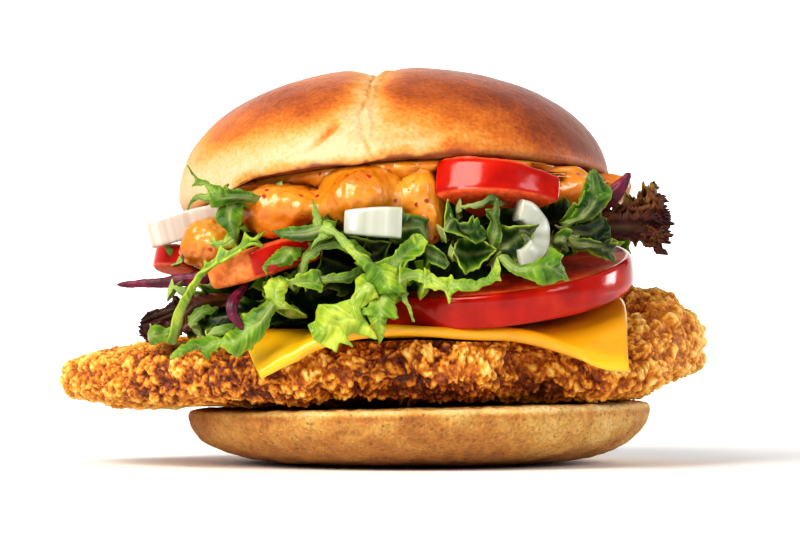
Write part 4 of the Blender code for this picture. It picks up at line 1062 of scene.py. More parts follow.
def leaf(skin, route, side, width, seed=0, lobes=5, depth=0.5, teeth=0.14, sweep=0.45, fan=0.0, stem=0.9,
         fold=0.35, ruffle=1.2, waves=3.0, tint=0.5, rib=0.35, spikes=(), rows=84, columns=33):
    """A leaf blade, as wide as half_width says. Its midrib follows route, and side is the way across
    it. A spike with a negative u is on the second side. Lobes lean towards the tip by sweep times
    their length. Across the midrib the blade is an arc of half angle LEAF_ROLL, each half is turned up
    from it by fold radians, and ruffle is a pair of sine waves that grow towards the edge."""
    chance = np.random.default_rng(seed)
    u = np.linspace(0.0, 1.0, rows)[:, None]
    v = np.linspace(-1.0, 1.0, columns)
    off = np.abs(v)
    halves = [half_width(u, chance, sign, width, lobes, depth, teeth, fan, stem, spikes) for sign in (-1, 1)]
    half = np.where(v < 0.0, *halves)
    reach = half * off
    # waves along the edges, or gathers across a fan
    phase = chance.uniform(0.0, 1.0, 6)
    first, second = (np.where(v < 0.0, phase[k], phase[k + 1]) for k in (0, 2))
    wave = np.sin(2 * math.pi * (waves * u + first) + 1.3 * v) * off**1.7
    wave += 0.5 * np.sin(2 * math.pi * (2.7 * waves * u + second)) * off**3
    gather = np.sin(2 * math.pi * (waves * v * 0.5 + phase[4]) + 2.0 * u) * u**1.6
    gather += 0.45 * np.sin(2 * math.pi * (waves * v * 1.35 + phase[5])) * u**4
    mid = bell(reach, 0.3 + 0.5 * (1.0 - u)) * (1.0 - 0.7 * u)
    size = np.clip(half / (0.6 * width), 0.0, 1.0)
    lift = ruffle * size * ((1.0 - fan) * wave + fan * gather) - 0.25 * mid
    # lobes that lean forward, and a fan's jagged end
    jag = saw((v + 1.0) * lobes * 1.2, chance.uniform(0.1, 1.0, lobes * 3 + 3))
    jag = jag + 0.4 * saw((v + 1.0) * lobes * 4.0, chance.uniform(0.1, 1.0, lobes * 9 + 3))
    ahead = sweep * (half - 0.5) * off**1.5 * (1.0 - fan)
    ahead = ahead + fan * width * (-0.28 * u**3 * v**2 + (depth + teeth) * 0.55 * u**6 * jag)
    # the arc across, on the midrib's own axes
    bend = LEAF_ROLL / (width + 0.5)
    aside = math.cos(fold) * np.sin(half * v * bend) / bend
    lift = lift + (1.0 - np.cos(half * v * bend)) / bend + reach * math.sin(fold)
    line = smooth_path(route, u[:, 0])
    along = unit(np.gradient(line, axis=0))
    across = unit(side - along * np.sum(along * side, axis=-1, keepdims=True))
    up = np.cross(along, across)[:, None]
    grid = line[:, None] + across[:, None] * aside[..., None] + up * lift[..., None]
    grid = grid + along[:, None] * ahead[..., None]
    grid = grid + up * (0.3 * soft_noise(grid, 3.0, seed + 5))[..., None]
    if fan > 0.5:
        vein, rim = v * width * 1.5, u**12
    else:
        vein, rim = length_along(line)[:, None] - 0.75 * reach + 40.0 * (v > 0.0), off**9
    # lighter towards the edges: partly the leaf's own paler edge, partly painted light
    skin.add(grid, tint=tint + 0.15 * soft_noise(grid, 6.0, seed) + 0.3 * (off - 0.6), vein=vein,
             rib=rib * mid, rim=0.45 * rim)


def jagged_edge(points, count):
    """Points spaced evenly along a toothed edge, each softened a little by its neighbours."""
    points = np.asarray(points, float)
    run = length_along(points)
    at = np.linspace(0.0, run[-1], count)
    edge = np.stack([np.interp(at, run, line) for line in points.T], -1)
    return np.concatenate([edge[:1], (edge[:-2] + 2.0 * edge[1:-1] + edge[2:]) / 4.0, edge[-1:]])


def blade_root(base, way, side, back, seed):
    """A blade's base led back into the heap as a crumpled strip that swells and closes again."""
    root = base * (1.0 - 0.6 * back[..., None]) + base.mean(0) * 0.6 * back[..., None]
    root = root + way * (2.6 * side * np.sin(math.pi * back) * (1.0 - 0.4 * back))[..., None]
    root[..., 1] += (-37.0 - root[..., 1]) * back**1.5
    return root + 2.2 * noise_vector(root, 4.2, seed) * smooth_step(2.5 * back)[..., None]


def blade(skin, first, second, depths, bulge, tilt, tint, rim, seed):
    """A leaf drawn by its two edges in the front view, with straight lines between them. It comes
    forward to depths, a parabola through its base, middle and tip, plus a bulge across it, a tilt, a
    ruffle that grows with its width, and edges that curl back. blade_root leads its base back."""
    u = np.linspace(0.0, 1.0, BLADE_ROWS)[:, None]
    v = np.linspace(0.0, 1.0, BLADE_COLUMNS)
    side = 2.0 * v - 1.0
    left, right = jagged_edge(first, BLADE_ROWS), jagged_edge(second, BLADE_ROWS)
    x, z = (left[:, k, None] * (1.0 - v) + right[:, k, None] * v for k in (0, 1))
    near, middle, far = depths
    deep = near + u * (4.0 * middle - 3.0 * near - far) + 2.0 * u * u * (near + far - 2.0 * middle)
    grid = points_at(x, deep, z)
    for axis in (0, 2):
        grid[..., axis] += 0.4 * layered_noise(grid, 1.4, seed + axis, 2) * np.abs(side) ** 3
    width = np.hypot(*(right - left).T)[:, None]
    wide = np.clip(width / 7.0, 0.0, 1.0)
    depth = -bulge * (1.0 - side**2) * wide + tilt * side * wide + 0.7 * wide * np.abs(side) ** 3
    depth = depth + wide * (1.9 * soft_noise(grid, 4.6, seed + 2) + 1.1 * soft_noise(grid, 2.3, seed + 3))
    grid[..., 1] += depth + 0.4 * bell(side, 0.12) * wide
    back = np.linspace(1.0, 0.0, ROOT_ROWS, endpoint=False)[:, None]
    way_x, way_z = unit((right - left).mean(0))
    root = blade_root(grid[0], np.array((way_x, 0.0, way_z)), side, back, seed + 4)
    # the root takes the first row's values, and is darker as painted shade inside the heap
    held = np.maximum(np.arange(-ROOT_ROWS, BLADE_ROWS), 0)
    reach = np.abs(side) * width / 2.0
    run = length_along(np.stack([x, z], -1)[:, BLADE_COLUMNS // 2])[:, None]
    # lighter towards the edges: partly the leaf's own paler edge, partly painted light
    shade = tint + 0.16 * soft_noise(grid, 5.0, seed) + 0.12 * (np.abs(side) - 0.5)
    vein = run - 0.8 * reach + 40.0 * (side > 0.0)
    rib = 0.5 * bell(reach, 0.35 + 0.5 * (1.0 - u)) * (1.0 - 0.8 * u)
    skin.add(np.concatenate([root, grid]), tint=shade[held] - np.concatenate([0.3 * back, 0.0 * u]),
             vein=vein[held], rib=rib[held], rim=rim * np.abs(side) ** 7)


# Dark leaves in the hollows of the heap's front, dark sheets that paint the shade there: the
# # midrib's route, the way across it, half width and tint
HOLLOW_SHADE_LEAVES = (
    (((-12, -30, 46), (-16, -44, 47), (-22, -50, 49)), (0, 0.2, 1), 8.5, 0.05),
    (((-2, -30, 48), (-6, -44, 49), (-12, -49, 52)), (0.3, 0.2, 1), 8.0, 0.08),
    (((8, -30, 52), (6, -44, 54), (0, -50, 56)), (0.3, 0.2, 1), 7.0, 0.1),
    (((14, -30, 52), (20, -44, 55), (28, -48, 56)), (0, 0.3, 1), 8.0, 0.06),
    (((-26, -30, 44), (-30, -44, 42), (-34, -50, 38)), (0.6, 0.2, 1), 8.0, 0.08),
    (((-38, -24, 42), (-44, -38, 40), (-50, -42, 38)), (0.2, 0.3, 1), 6.5, 0.15),
    (((24, -26, 55), (30, -40, 57), (36, -42, 58)), (0, 0.3, 1), 6.0, 0.05),
    (((30, -24, 54), (38, -36, 54), (44, -36, 54)), (0, 0.3, 1), 6.0, 0.1),
    (((-26, -28, 38), (-38, -40, 36.5), (-50, -40, 35)), (0.2, 0.6, 1), 6.5, 0.12),
    (((-30, -26, 36), (-42, -36, 34.5), (-56, -34, 34.5)), (0.1, 0.8, 1), 6.0, 0.2),
)

# Leaves drawn by their edges in the front view: the first and the second edge from base to tip as
# # (x, z), the depths of base, middle and tip, bulge, tilt, tint, low as painted shade on blades in the
# # heap's hollows, and rim, a lighter edge that is partly painted light. The nearest ones come last.
BLADES = (
    # hollow behind the stem, near black as painted shade
    (((-20.5, 56.6), (-17.5, 54.6), (-14.2, 53.5), (-10.6, 52.7), (-6.2, 52.4)), ((-17.5, 51.3),
     (-14.2, 48.7), (-11.3, 46.2), (-7.7, 47.6), (-6.2, 52.4)), (-54, -50, -52), -3, 0, 0.02, 0.6),
    # upper lip of the rolled leaf
    (((-26.8, 46.4), (-25.8, 49.6), (-23, 51.9), (-18.8, 52.9), (-14.4, 52.5), (-10.9, 49.3)),
     ((-25.8, 44.2), (-24.4, 47.8), (-21.5, 50.1), (-18, 51), (-14.8, 50.1), (-11.7, 47.2)), (-54, -56, -54),
     1, -1, 0.5, 0.8),
    # lower lip of the rolled leaf
    (((-26.4, 45.8), (-22, 44.8), (-17.2, 45), (-11.7, 47.2)), ((-27.2, 44.2), (-22, 42.8), (-15.6, 43.3),
     (-10.9, 45.8)), (-54, -56, -54), 0.6, 0, 0.35, 0.6),
    # tip behind the far tomato
    (((-54.7, 49.8), (-56.8, 51.9), (-58.9, 52.7)), ((-55.1, 49), (-57.6, 50.3), (-58.9, 52.7)),
     (-22, -25, -25), 0.3, 0, 0.6, 0.4),
    # back of the right ear
    (((-3.3, 58.6), (-0.4, 58.4), (2, 57.7), (1.5, 55.5), (2.1, 52)), ((-4.4, 52.4), (-2.9, 52.7),
     (-1.5, 53.8), (0.2, 53.9), (2.1, 52)), (-51, -53, -54), 1, 0, 0.2, 0.4),
    # fold under the upper tomato
    (((9.2, 60.3), (12.8, 61), (15, 61.6), (16, 63.5), (17.4, 62.7), (17.6, 61.6), (19.4, 61)), ((9.5, 59.9),
     (13.5, 59.9), (16.6, 60.9), (17.9, 60.5), (19.4, 61)), (-52, -54, -52), 0.5, 0, 0.3, 0.5),
    # dark leaf right, near
    (((29.2, 52.4), (30.8, 54.3), (32.7, 55.4), (34, 54.8), (32.4, 53.4), (33.5, 50.5)), ((29.2, 52.1),
     (30.2, 50.9), (31, 50), (31.6, 50.9), (33.5, 50.4)), (-50, -53, -50), 1, 1, 0.02, 0.75),
    # dark leaf right, far
    (((33.6, 53.4), (35.8, 53), (38, 53.1), (41.2, 52.1), (43.4, 53.6), (42.9, 52.4), (44.5, 52.4),
     (43.1, 50.5), (44.4, 47.6)), ((34, 52.4), (34.6, 50.2), (35.9, 50.2), (37.4, 50.9), (39.3, 49.3),
     (41.8, 49), (44.4, 47.6)), (-47, -50, -46), 1, 1, 0.0, 0.85),
    # dark back of the right blade
    (((32.7, 55.8), (35.5, 56.2), (38.7, 56.9), (41.8, 58.4)), ((33.3, 53.4), (37.1, 53.1), (40.3, 52.4),
     (43.4, 55.3), (41.8, 58.4)), (-46, -44, -42), -2, 0, 0.0, 0.1),
    # saddle, right wing
    (((16, 53.1), (18.3, 55.8), (20.1, 55.5), (22.6, 55.7), (26.5, 55.9)), ((17.2, 49), (21.3, 47.6),
     (23.1, 49.3), (24.2, 52.1), (22.6, 53.9), (23.9, 53.9), (25, 52.5), (25.3, 54.3), (26.5, 55.9)),
     (-52, -56, -57), -1.5, 1.5, 0.08, 0.75),
    # saddle, left wing
    (((5.5, 54.6), (5.7, 58.4), (6.5, 62), (7.1, 57.8), (8.7, 56.3), (10.9, 56.7), (11.9, 58.5),
     (12.2, 56.9), (12.9, 57.8), (13.3, 56.2), (15, 54.8)), ((5.5, 54.5), (7.5, 54.2), (10, 53.1),
     (12.8, 51.8), (15, 53.1)), (-57, -56, -53), -1, 0, 0.28, 0.8),
    # saddle, middle spike
    (((15, 52.8), (15.3, 55.6), (16, 57.2), (14.6, 59.2), (16, 59.4), (17.4, 61.7)), ((17.6, 50.2),
     (18.5, 53.4), (18.3, 55.9), (17.7, 58.4), (17.4, 61.7)), (-52, -56, -55), 0.8, -0.8, 0.3, 0.8),
    # spoon leaf
    (((7.6, 50.4), (8.7, 52.8), (11.6, 53.5), (14.7, 52.4), (17, 50.5)), ((7.6, 50.1), (8.7, 47.3),
     (10.5, 45.1), (13.5, 46.8), (17, 50.2)), (-58, -55, -58), -3.2, -1.5, 0.3, 0.7),
    # small spoon
    (((1.8, 52.1), (4.3, 50.9), (5.9, 49.3), (6.6, 47.7)), ((1.8, 47.9), (4.3, 46.6), (6, 46.3),
     (6.6, 47.7)), (-56, -56, -56), -1.5, -1, 0.25, 0.8),
    # pale wave on the lower tomato
    (((1.2, 46.1), (4.3, 43.9), (6.2, 43.7), (6.9, 45.2), (7.6, 43.7), (11.9, 43.5), (14.9, 44.2),
     (16.3, 46.1), (17.4, 48.7)), ((1.2, 41.7), (4.3, 41.7), (5.7, 40.9), (6.6, 38.2), (7.1, 40.3),
     (8.7, 41.2), (12.8, 41.2), (14.1, 42.5), (18.1, 43.9), (17.4, 48.7)), (-60, -62, -58), 0.8, -1.2, 0.86,
     0.3),
    # light leaf on the right
    (((17.4, 48.8), (19.1, 49.4), (20.7, 47.8), (22.6, 46.9), (25.1, 47.6), (28, 48.9), (29.2, 50.9),
     (31.7, 49.3), (31, 48.6), (33.2, 43.7)), ((17.4, 48.2), (20.1, 45.4), (22.9, 44.2), (25.2, 43.5),
     (26.5, 42.5), (29.5, 43.1), (31.7, 44), (33.2, 43.7)), (-57, -60, -56), 1, -1, 0.5, 0.6),
    # right blade
    (((32.6, 55.8), (31.5, 56.9), (34, 58), (35.8, 60.6), (36.5, 63.2), (37.3, 66.3), (38.5, 68.4)),
     ((32.8, 55.7), (35.8, 56.7), (38.7, 57.5), (41.4, 60), (43, 62.7), (40.9, 63.2), (39.9, 66.3),
     (38.5, 68.4)), (-48, -51, -50), 1.2, -1, 0.3, 0.5),
    # leaflet on the left
    (((-47, 31.5), (-45.5, 33), (-43.3, 33.8), (-40.5, 34.2)), ((-47, 31.3), (-44.6, 31.4), (-42.3, 32.1),
     (-40.4, 33.1)), (-54, -55, -54), 0.5, 0, 0.5, 0.5),
    # curled leaf on the left
    (((-51, 33.4), (-51.5, 35.7), (-49.7, 37.3), (-46.8, 38.2), (-44.9, 37.6)), ((-50.8, 33.3),
     (-48.7, 34.7), (-47.5, 36), (-46.2, 36.6), (-44.9, 37.4)), (-50, -52, -50), 0.8, 0, 0.45, 0.4),
    # leaf under the shred
    (((-55.1, 42.5), (-52.6, 42.2), (-51, 42.2), (-50.3, 41.1)), ((-55, 42.2), (-53.6, 40.8), (-51.9, 39.5),
     (-50.3, 41)), (-46, -48, -46), 0.5, 0, 0.6, 0.3),
    # frilled leaf at the far left
    (((-61.3, 31.2), (-60.6, 33.4), (-58.4, 33.8), (-56.8, 33.1), (-54.7, 33.8)), ((-61.3, 30.9),
     (-60.3, 29.5), (-58.4, 29.9), (-56.8, 30.2), (-54.7, 33.1)), (-40, -43, -42), 1.2, 0, 0.55, 0.5),
    # fold over the near tomato
    (((-31.2, 51), (-32.7, 48.8), (-34.4, 46.8), (-33.8, 45.3)), ((-25.9, 50.8), (-26.1, 49.2), (-28.2, 47),
     (-33.3, 47.2), (-33.8, 45.3)), (-53, -57, -56), 1, -0.8, 0.62, 0.5),
    # brown leaf over the near tomato
    (((-25.9, 51.7), (-26.9, 49.2), (-27.5, 46.3), (-29.5, 44.5)), ((-23.7, 52.4), (-24.3, 49.2),
     (-25.9, 46.3), (-28.2, 44)), (-50, -50, -52), 1, 0, 0.4, 0.1),
    # yellow fork
    (((-31.9, 37.5), (-33.7, 40.1), (-34.2, 42.3), (-33.3, 44), (-30.8, 44.6)), ((-27.6, 37.4), (-30, 38.8),
     (-29.4, 41.1), (-28.8, 42.7), (-28.1, 43.8)), (-56, -57, -54), 1.2, 0, 0.8, 0.3),
    # lobe of the fork
    (((-28.5, 43.5), (-26.3, 45), (-22.7, 46.1), (-21.4, 45.3)), ((-27.9, 42.7), (-25.9, 42.4),
     (-23.7, 41.7), (-21.5, 40.9), (-21.2, 42.4), (-22.2, 44), (-21.4, 45.3)), (-56, -58, -55), -1, 1, 0.6,
     0.7),
    # long leaf on the cutlet
    (((-32.7, 39.9), (-35.9, 37.2), (-39.4, 36.2), (-40.9, 33.1), (-43.6, 30.9), (-47.8, 31.4), (-51, 30.2),
     (-53.9, 28.5), (-55.4, 26.2)), ((-31.7, 37.7), (-34.1, 31.7), (-37.2, 28.2), (-40.4, 26.9),
     (-42.1, 27.9), (-43.6, 29.3), (-45.6, 28.3), (-46.6, 25.4), (-47.9, 27.3), (-48.3, 29.1), (-51, 27.8),
     (-53.2, 26.8), (-55.4, 26.2)), (-56, -57, -50), 1.6, -1.5, 0.64, 0.5),
    # left arm
    (((-20.8, 56.6), (-24.1, 55.9), (-27.4, 55.5), (-29.6, 55.2), (-32.4, 54.6)), ((-20.8, 53.5),
     (-23, 52.9), (-25.2, 52.1), (-28.1, 52.4), (-30.7, 53), (-32.4, 54.6)), (-59, -58, -55), 0.8, -0.6, 0.42,
     0.3),
    # spike up
    (((-23.3, 55.1), (-23.4, 58.2), (-23.5, 61.6)), ((-20.8, 55.8), (-22.1, 58.2), (-23.5, 61.6)),
     (-59, -59, -59), 0.3, 0, 0.5, 0.2),
    # spike down left
    (((-21.8, 54.2), (-22.6, 52.7), (-23.8, 50.6)), ((-19.6, 53.5), (-21.5, 52.7), (-23.8, 50.6)),
     (-59, -60, -60), 0.3, 0, 0.62, 0.2),
    # lower left lobe
    (((-11.3, 45.4), (-13.8, 44), (-13.5, 41.4), (-15, 39.5), (-17.9, 38.4), (-22.4, 38.1), (-22.8, 34.3),
     (-24.4, 33.8)), ((-9.1, 40), (-13.5, 37), (-15.2, 35.4), (-12.4, 33.4), (-9, 30.8), (-14.2, 32.1),
     (-16.1, 30.8), (-14.4, 28.6), (-17.3, 30), (-18, 28), (-21.4, 29.4), (-24.1, 32.2), (-24.4, 33.8)),
     (-60, -61, -58), 0.8, -1.2, 0.88, 0.4),
    # down leaf
    (((-9.9, 41.8), (-11, 38.5), (-13.1, 36.1), (-11.3, 35.9), (-10, 33), (-8.7, 29.8)), ((-4, 41.8),
     (-5.7, 38.1), (-4.2, 35.3), (-6.9, 35.4), (-7.3, 32.7), (-8.7, 29.8)), (-60, -62, -60), 1, 0, 0.8, 0.3),
    # small spike down right
    (((-6.2, 42.9), (-4.2, 40.5), (-2.7, 37.9), (-1.4, 34.6)), ((-3.1, 42.9), (-2.6, 40), (-2, 37.4),
     (-1.4, 34.6)), (-60, -61, -60), 0.4, 0, 0.72, 0.3),
    # right arm
    (((-4.4, 46.5), (-2.6, 46.3), (0.9, 45.7), (1.5, 43.5), (2.1, 45.9), (3.6, 44), (7.3, 44.3)), ((-4, 41),
     (-2.6, 43.4), (-0.4, 43.6), (1.5, 42.7), (3.3, 41.3), (7.3, 42.1)), (-61, -61, -60), 0.6, -0.5, 0.78,
     0.5),
    # lower side of the right ear
    (((-12.1, 46.2), (-9.1, 47.8), (-6.2, 49.1), (-4, 51.5), (-1.3, 53.8), (0.4, 53.9)), ((-9.1, 42.1),
     (-4, 45.4), (-2.5, 47.6), (1.2, 49.9), (2.1, 52.1), (0.4, 53.9)), (-60, -60, -55), -1.5, -1.5, 0.6, 0.6),
    # stem and heart
    (((-21.1, 53.5), (-18.6, 53.3), (-16.4, 50.7), (-13.5, 47.8), (-11.7, 45.4), (-11.4, 42.9),
     (-10.6, 40.3)), ((-21, 56.7), (-18.6, 55.2), (-16, 52.7), (-13.2, 50), (-9.9, 47.6), (-4.4, 46.2),
     (-2.7, 41)), (-60, -61.5, -61), 1.5, 0, 0.72, 0.2),
)

# Leaves round the back, in tiers of (degrees between two leaves, height)
TIERS = ((12.5, 55.0), (13.0, 49.0), (14.0, 43.0))


def salad_core():
    """The bulk of the heap: rings between the cheese and the sauce, crumpled by noise, dark all over
    as painted shade of the heap's inside and lighter where it crumples out.
    """
    angle = front_angles(260, 0.3)
    height = np.linspace(1.0, 0.0, 90)[:, None]
    ends = np.sqrt(np.clip(np.minimum(height, 1.0 - height) * 40.0, 0.03, 1.0))
    belly = (1.0 - 0.1 * np.abs(2.0 * height - 1.0) ** 3) * ends
    x = -2.5 + 43.0 * belly * np.cos(angle)
    y = 0.5 + 41.0 * belly * np.sin(angle)
    top = crown_cut_z(x, y) - SAUCE_DEPTH - 0.6
    bottom = cheese_rest_z(x, y) - 0.4
    grid = points_at(x, y, bottom + (top - bottom) * height)
    crumple = np.abs(soft_noise(grid, 7.0, 111)) + 0.5 * np.abs(soft_noise(grid, 3.2, 112))
    inside = smooth_step(np.minimum(height, 1.0 - height) / 0.04)
    grid = raised(grid, (3.4 * crumple - 2.0) * inside)
    return Skin().add(grid, closed=True, tint=0.05 + 0.32 * crumple, rib=0.0, rim=0.0, vein=grid[..., 0])


def side_leaves(skin):
    """Leaves round the sides and the back, each a fan or a plain leaf that leaves the heap and falls."""
    chance = np.random.default_rng(21)
    for tier, (spacing, level) in enumerate(TIERS):
        for angle in np.arange(2.0, 216.0, spacing):
            a = math.radians(angle + chance.uniform(-4.0, 4.0))
            out = np.array([math.cos(a), math.sin(a), 0.0])
            turn = np.array([-math.sin(a), math.cos(a), 0.0])
            high = level + chance.uniform(-2.5, 2.5)
            fall = chance.uniform(1.0, 8.0)
            reach = chance.uniform(47.0, 52.5)
            drift = turn * chance.uniform(-6.0, 6.0)
            route = [out * 30 + (0, 0, high), out * (reach - 8) + drift * 0.5 + (0, 0, high + 1.0),
                     out * reach + drift + (0, 0, high - fall)]
            style = {"fan": 1.0, "lobes": 4, "depth": 0.35} if chance.uniform() < 0.55 else {"lobes": 5}
            width = chance.uniform(6.5, 9.0)
            side = turn + (0, 0, chance.uniform(-0.6, 0.6))
            leaf(skin, route, side, width, seed=300 + int(angle) + 400 * tier, ruffle=1.7, waves=2.5,
                 tint=chance.uniform(0.15, 0.85), rows=38, columns=24, **style)


def salad(green, settings):
    """The heap: a crumpled core, the leaves that show at the front and those round the back."""
    dress(salad_core().piece("salad_core"), green, "salad_heap")
    pieces = {"salad_hollow_leaves": Skin(), "salad_side_leaves": Skin()}
    for k, (route, side, width, tint) in enumerate(HOLLOW_SHADE_LEAVES):
        leaf(pieces["salad_hollow_leaves"], route, side, width, seed=201 + k, tint=tint, rows=60, columns=25)
    side_leaves(pieces["salad_side_leaves"])
    for k, drawn in enumerate(BLADES):
        blade(pieces.setdefault(f"salad_front_leaves_{k // 12}", Skin()), *drawn, seed=400 + 5 * k)
    for name, skin in pieces.items():
        dress(skin.piece(name), green, "salad_heap", settings.thickness)


# The sprig's leaves, in the same form as BLADES
SPRIG = (
    # against the crown
    (((-31.1, 64.7), (-33.3, 64), (-35.3, 62.9), (-36.5, 63.1), (-38.5, 63.9), (-41, 64.2), (-43.6, 64.5),
     (-46.2, 65.3), (-48.1, 66.3), (-50.3, 67.4), (-52.3, 69.9)), ((-31.1, 64.4), (-33.3, 62.8),
     (-35.9, 61.7), (-38.5, 61.5), (-41.7, 61.2), (-44.2, 60.9), (-46.2, 60.2), (-47.1, 61.9), (-47.3, 64),
     (-48.1, 65.3), (-49.7, 65.3), (-51, 64.7), (-50.2, 65.5), (-50.3, 67.1), (-52.3, 69.9)), (-43, -49, -43),
     1, -0.8, 0.45, 0.5),
    # its lower spike
    (((-42.9, 64.2), (-46.2, 63.9), (-47.6, 63.4), (-49.7, 63.1), (-51.3, 61.9), (-52, 59.9)),
     ((-42.9, 61.3), (-45.2, 61.4), (-47.1, 61.3), (-49.4, 62.1), (-51, 61.5), (-52, 59.9)), (-49, -49, -45),
     0.8, 0, 0.5, 0.5),
    # falling from it
    (((-43.9, 61.3), (-45.4, 59.5), (-45.4, 57.5), (-44.5, 56.3), (-42.6, 54.7), (-41.5, 52.3)),
     ((-39.4, 61.3), (-39.8, 57.8), (-40.4, 55.2), (-40.8, 52.7), (-40.8, 51.5)), (-47, -50, -49), 1.2, 0.8,
     0.5, 0.4),
    # its hook
    (((-42.6, 54.6), (-43.7, 52.8), (-45.2, 52.4), (-45.6, 53), (-46.2, 53.5), (-46.6, 53)), ((-40.7, 51.7),
     (-42, 51.2), (-43.6, 50.8), (-45.2, 51), (-46.3, 51.6), (-46.6, 53)), (-49, -50, -49), 0.5, 0, 0.7, 0.4),
)
RIB = ((-34.3, -53, 54.5), (-37.5, -55, 52), (-43.7, -55, 48.4), (-47.5, -55, 45.3), (-49.6, -54, 42.7),
       (-51.4, -52.5, 39.6), (-53.4, -50.5, 35.1), (-55.2, -46, 29.8))
RIB_SPIKES = ((0.6, 1.8, 0.04), (-0.66, 1.6, 0.035), (0.72, 2.0, 0.04), (-0.79, 1.9, 0.04),
              (0.84, 1.9, 0.04), (-0.9, 1.6, 0.035))
RIGHT_BLADE = ((32.3, -44, 56.9), (36.5, -49, 58.9), (40.2, -51, 62.4), (39.2, -50, 68.9))


def loose_leaves(green, settings):
    """The sprig against the crown, the long rib on the left and the blade on the right."""
    sprig, rib, right = Skin(), Skin(), Skin()
    for k, drawn in enumerate(SPRIG):
        blade(sprig, *drawn, seed=261 + 5 * k)
    leaf(rib, RIB[::-1], (0.6, 0.2, 0.6), 0.3, seed=263, stem=1.5, ruffle=0.3, tint=0.75, fold=0.2, rows=170,
         spikes=RIB_SPIKES)
    leaf(right, RIGHT_BLADE, (1, 0.2, -0.3), 3.6, seed=264, lobes=4, depth=0.4, ruffle=0.8, tint=0.4,
         sweep=0.3)
    thin = settings.thickness
    dress(sprig.piece("sprig_left"), green, "lettuce_sprig_left", thin)
    dress(rib.piece("rib_left"), green, "lettuce_rib_left", 2 * thin)
    dress(right.piece("blade_right"), green, "lettuce_blade_right", thin)


def red_leaves(settings):
    """Lollo rosso: fans gathered at the base and frilled at the rim, bronze along the ribs."""
    red = leaf_material("red_lollo_lettuce", ("#260A0A", "#4A1A12", "#7E4C24", "#A88A44"), "#A48444",
                        "#3A0C16")
    right, left = Skin(), Skin()
    for k in range(4):
        lean = 0.5 * (k - 1.5)
        route = ((37, -22, 57.0), (45, -25 + k, 57.5 + lean), (52, -24 + k, 58.5 + 2.5 * lean),
                 (57.0, -22 + k, 58.5 + 4.0 * lean))
        leaf(right, route, (0, 0.25 + 0.15 * lean, 1), 6.8, seed=270 + k, fan=1.0, lobes=6, teeth=0.3,
             ruffle=0.9, waves=2.6, tint=0.3 + 0.15 * k, fold=0.1, rows=80, columns=70)
    for k in range(3):
        route = ((-42, -36 - k, 40), (-50, -41 - k, 38.5), (-57, -41, 37.0 - 1.5 * k), (-63, -36, 34.5 - k))
        leaf(left, route, (0.3, 0.4, 1), 4.6, seed=280 + k, fan=0.4, lobes=6, teeth=0.3, ruffle=2.0,
             tint=0.15 + 0.1 * k, rib=0.15, rows=80, columns=50)
    dress(right.piece("red_leaf_fan"), red, "red_leaf_right", settings.thickness)
    dress(left.piece("red_leaf_curl"), red, "red_leaf_left", settings.thickness)


# --- stage ------------------------------------------------------------------------------------

# Each soft light's place, size, tint and aim, in metres. Its power is in StageSettings.
MIDDLE = (0.0, 0.0, 0.045)
SOFTBOXES = {
    "key": ((-0.42, -0.5, 0.55), (0.5, 0.46), "#FFF6EA", MIDDLE),
    "fill": ((0.55, -0.55, 0.35), (0.3, 0.3), "#F6F8FF", MIDDLE),
    "side": ((0.62, 0.2, 0.16), (0.14, 0.22), "#FFFFFF", MIDDLE),
    "glint": ((-0.5, -0.62, 0.26), (0.2, 0.12), "#FFFFFF", MIDDLE),
    "board": ((0.0, 0.9, 1.3), (1.6, 0.5), "#FFFFFF", (0.0, 2.3, 0.3)),
}
CAMERA_PLACE = (-0.0042, -0.7, 0.0279)
CAMERA_AIM = (-0.0042, 0.0, 0.0472)
CAMERA_LENS = 130.9


def put(name, data, place, aim):
    """Adds a light or a camera at a place, turned to its aim."""
    obj = bpy.data.objects.new(name, data)
    obj.location = place
    obj.rotation_euler = (Vector(aim) - Vector(place)).to_track_quat("-Z", "Y").to_euler()
    bpy.context.scene.collection.objects.link(obj)
    return obj


def softbox(name, energy, place, size, tint, aim):
    """A rectangular area light."""
    lamp = bpy.data.lights.new(name, "AREA")
    lamp.shape = "RECTANGLE"
    lamp.size, lamp.size_y = size
    lamp.energy = energy
    lamp.color = colour(tint)[:3]
    put(name, lamp, place, aim)


def studio(settings):
    """A pale board that rises behind as a parabola, soft lights, and a camera just above the cutlet's
    height."""
    t = np.linspace(0.0, 1.0, 90)[:, None]
    deep = np.interp(t, (0.0, 0.45, 0.75, 1.0), (-1.6, 1.4, 2.2, 2.5))
    rise = 1.8 * np.clip((t - 0.45) / 0.55, 0.0, 1.0) ** 2
    grid = points_at(np.linspace(3.0, -3.0, 30), deep, rise) / MM + (0.0, 0.0, DATUM)
    board = Skin().add(grid).piece("studio_board")
    board.data.materials.append(board_material())
    for name, form in SOFTBOXES.items():
        softbox(name + "_softbox", getattr(settings, name + "_power"), *form)
    scene = bpy.context.scene
    scene.world = bpy.data.worlds.new("studio")
    scene.world.use_nodes = True
    set_inputs(scene.world.node_tree.nodes["Background"],
               {"Color": tuple(settings.surroundings), "Strength": settings.ambient})
    scene.view_settings.view_transform = "Standard"
    scene.view_settings.look = "Medium High Contrast"
    view = bpy.data.cameras.new("front_view")
    view.lens = CAMERA_LENS
    view.clip_start = 0.01
    scene.camera = put("front_view", view, CAMERA_PLACE, CAMERA_AIM)


# --- settings, operators and panel ------------------------------------------------------------


def length(label, words, default):
    """A length setting, in metres."""
    return FloatProperty(name=label, description=words, default=default, min=0.0, unit="LENGTH")


def shade(label, words, code):
    """A colour setting, from an sRGB hex value."""
    return FloatVectorProperty(name=label, description=words, default=colour(code), size=4, min=0.0, max=1.0,
                               subtype="COLOR")


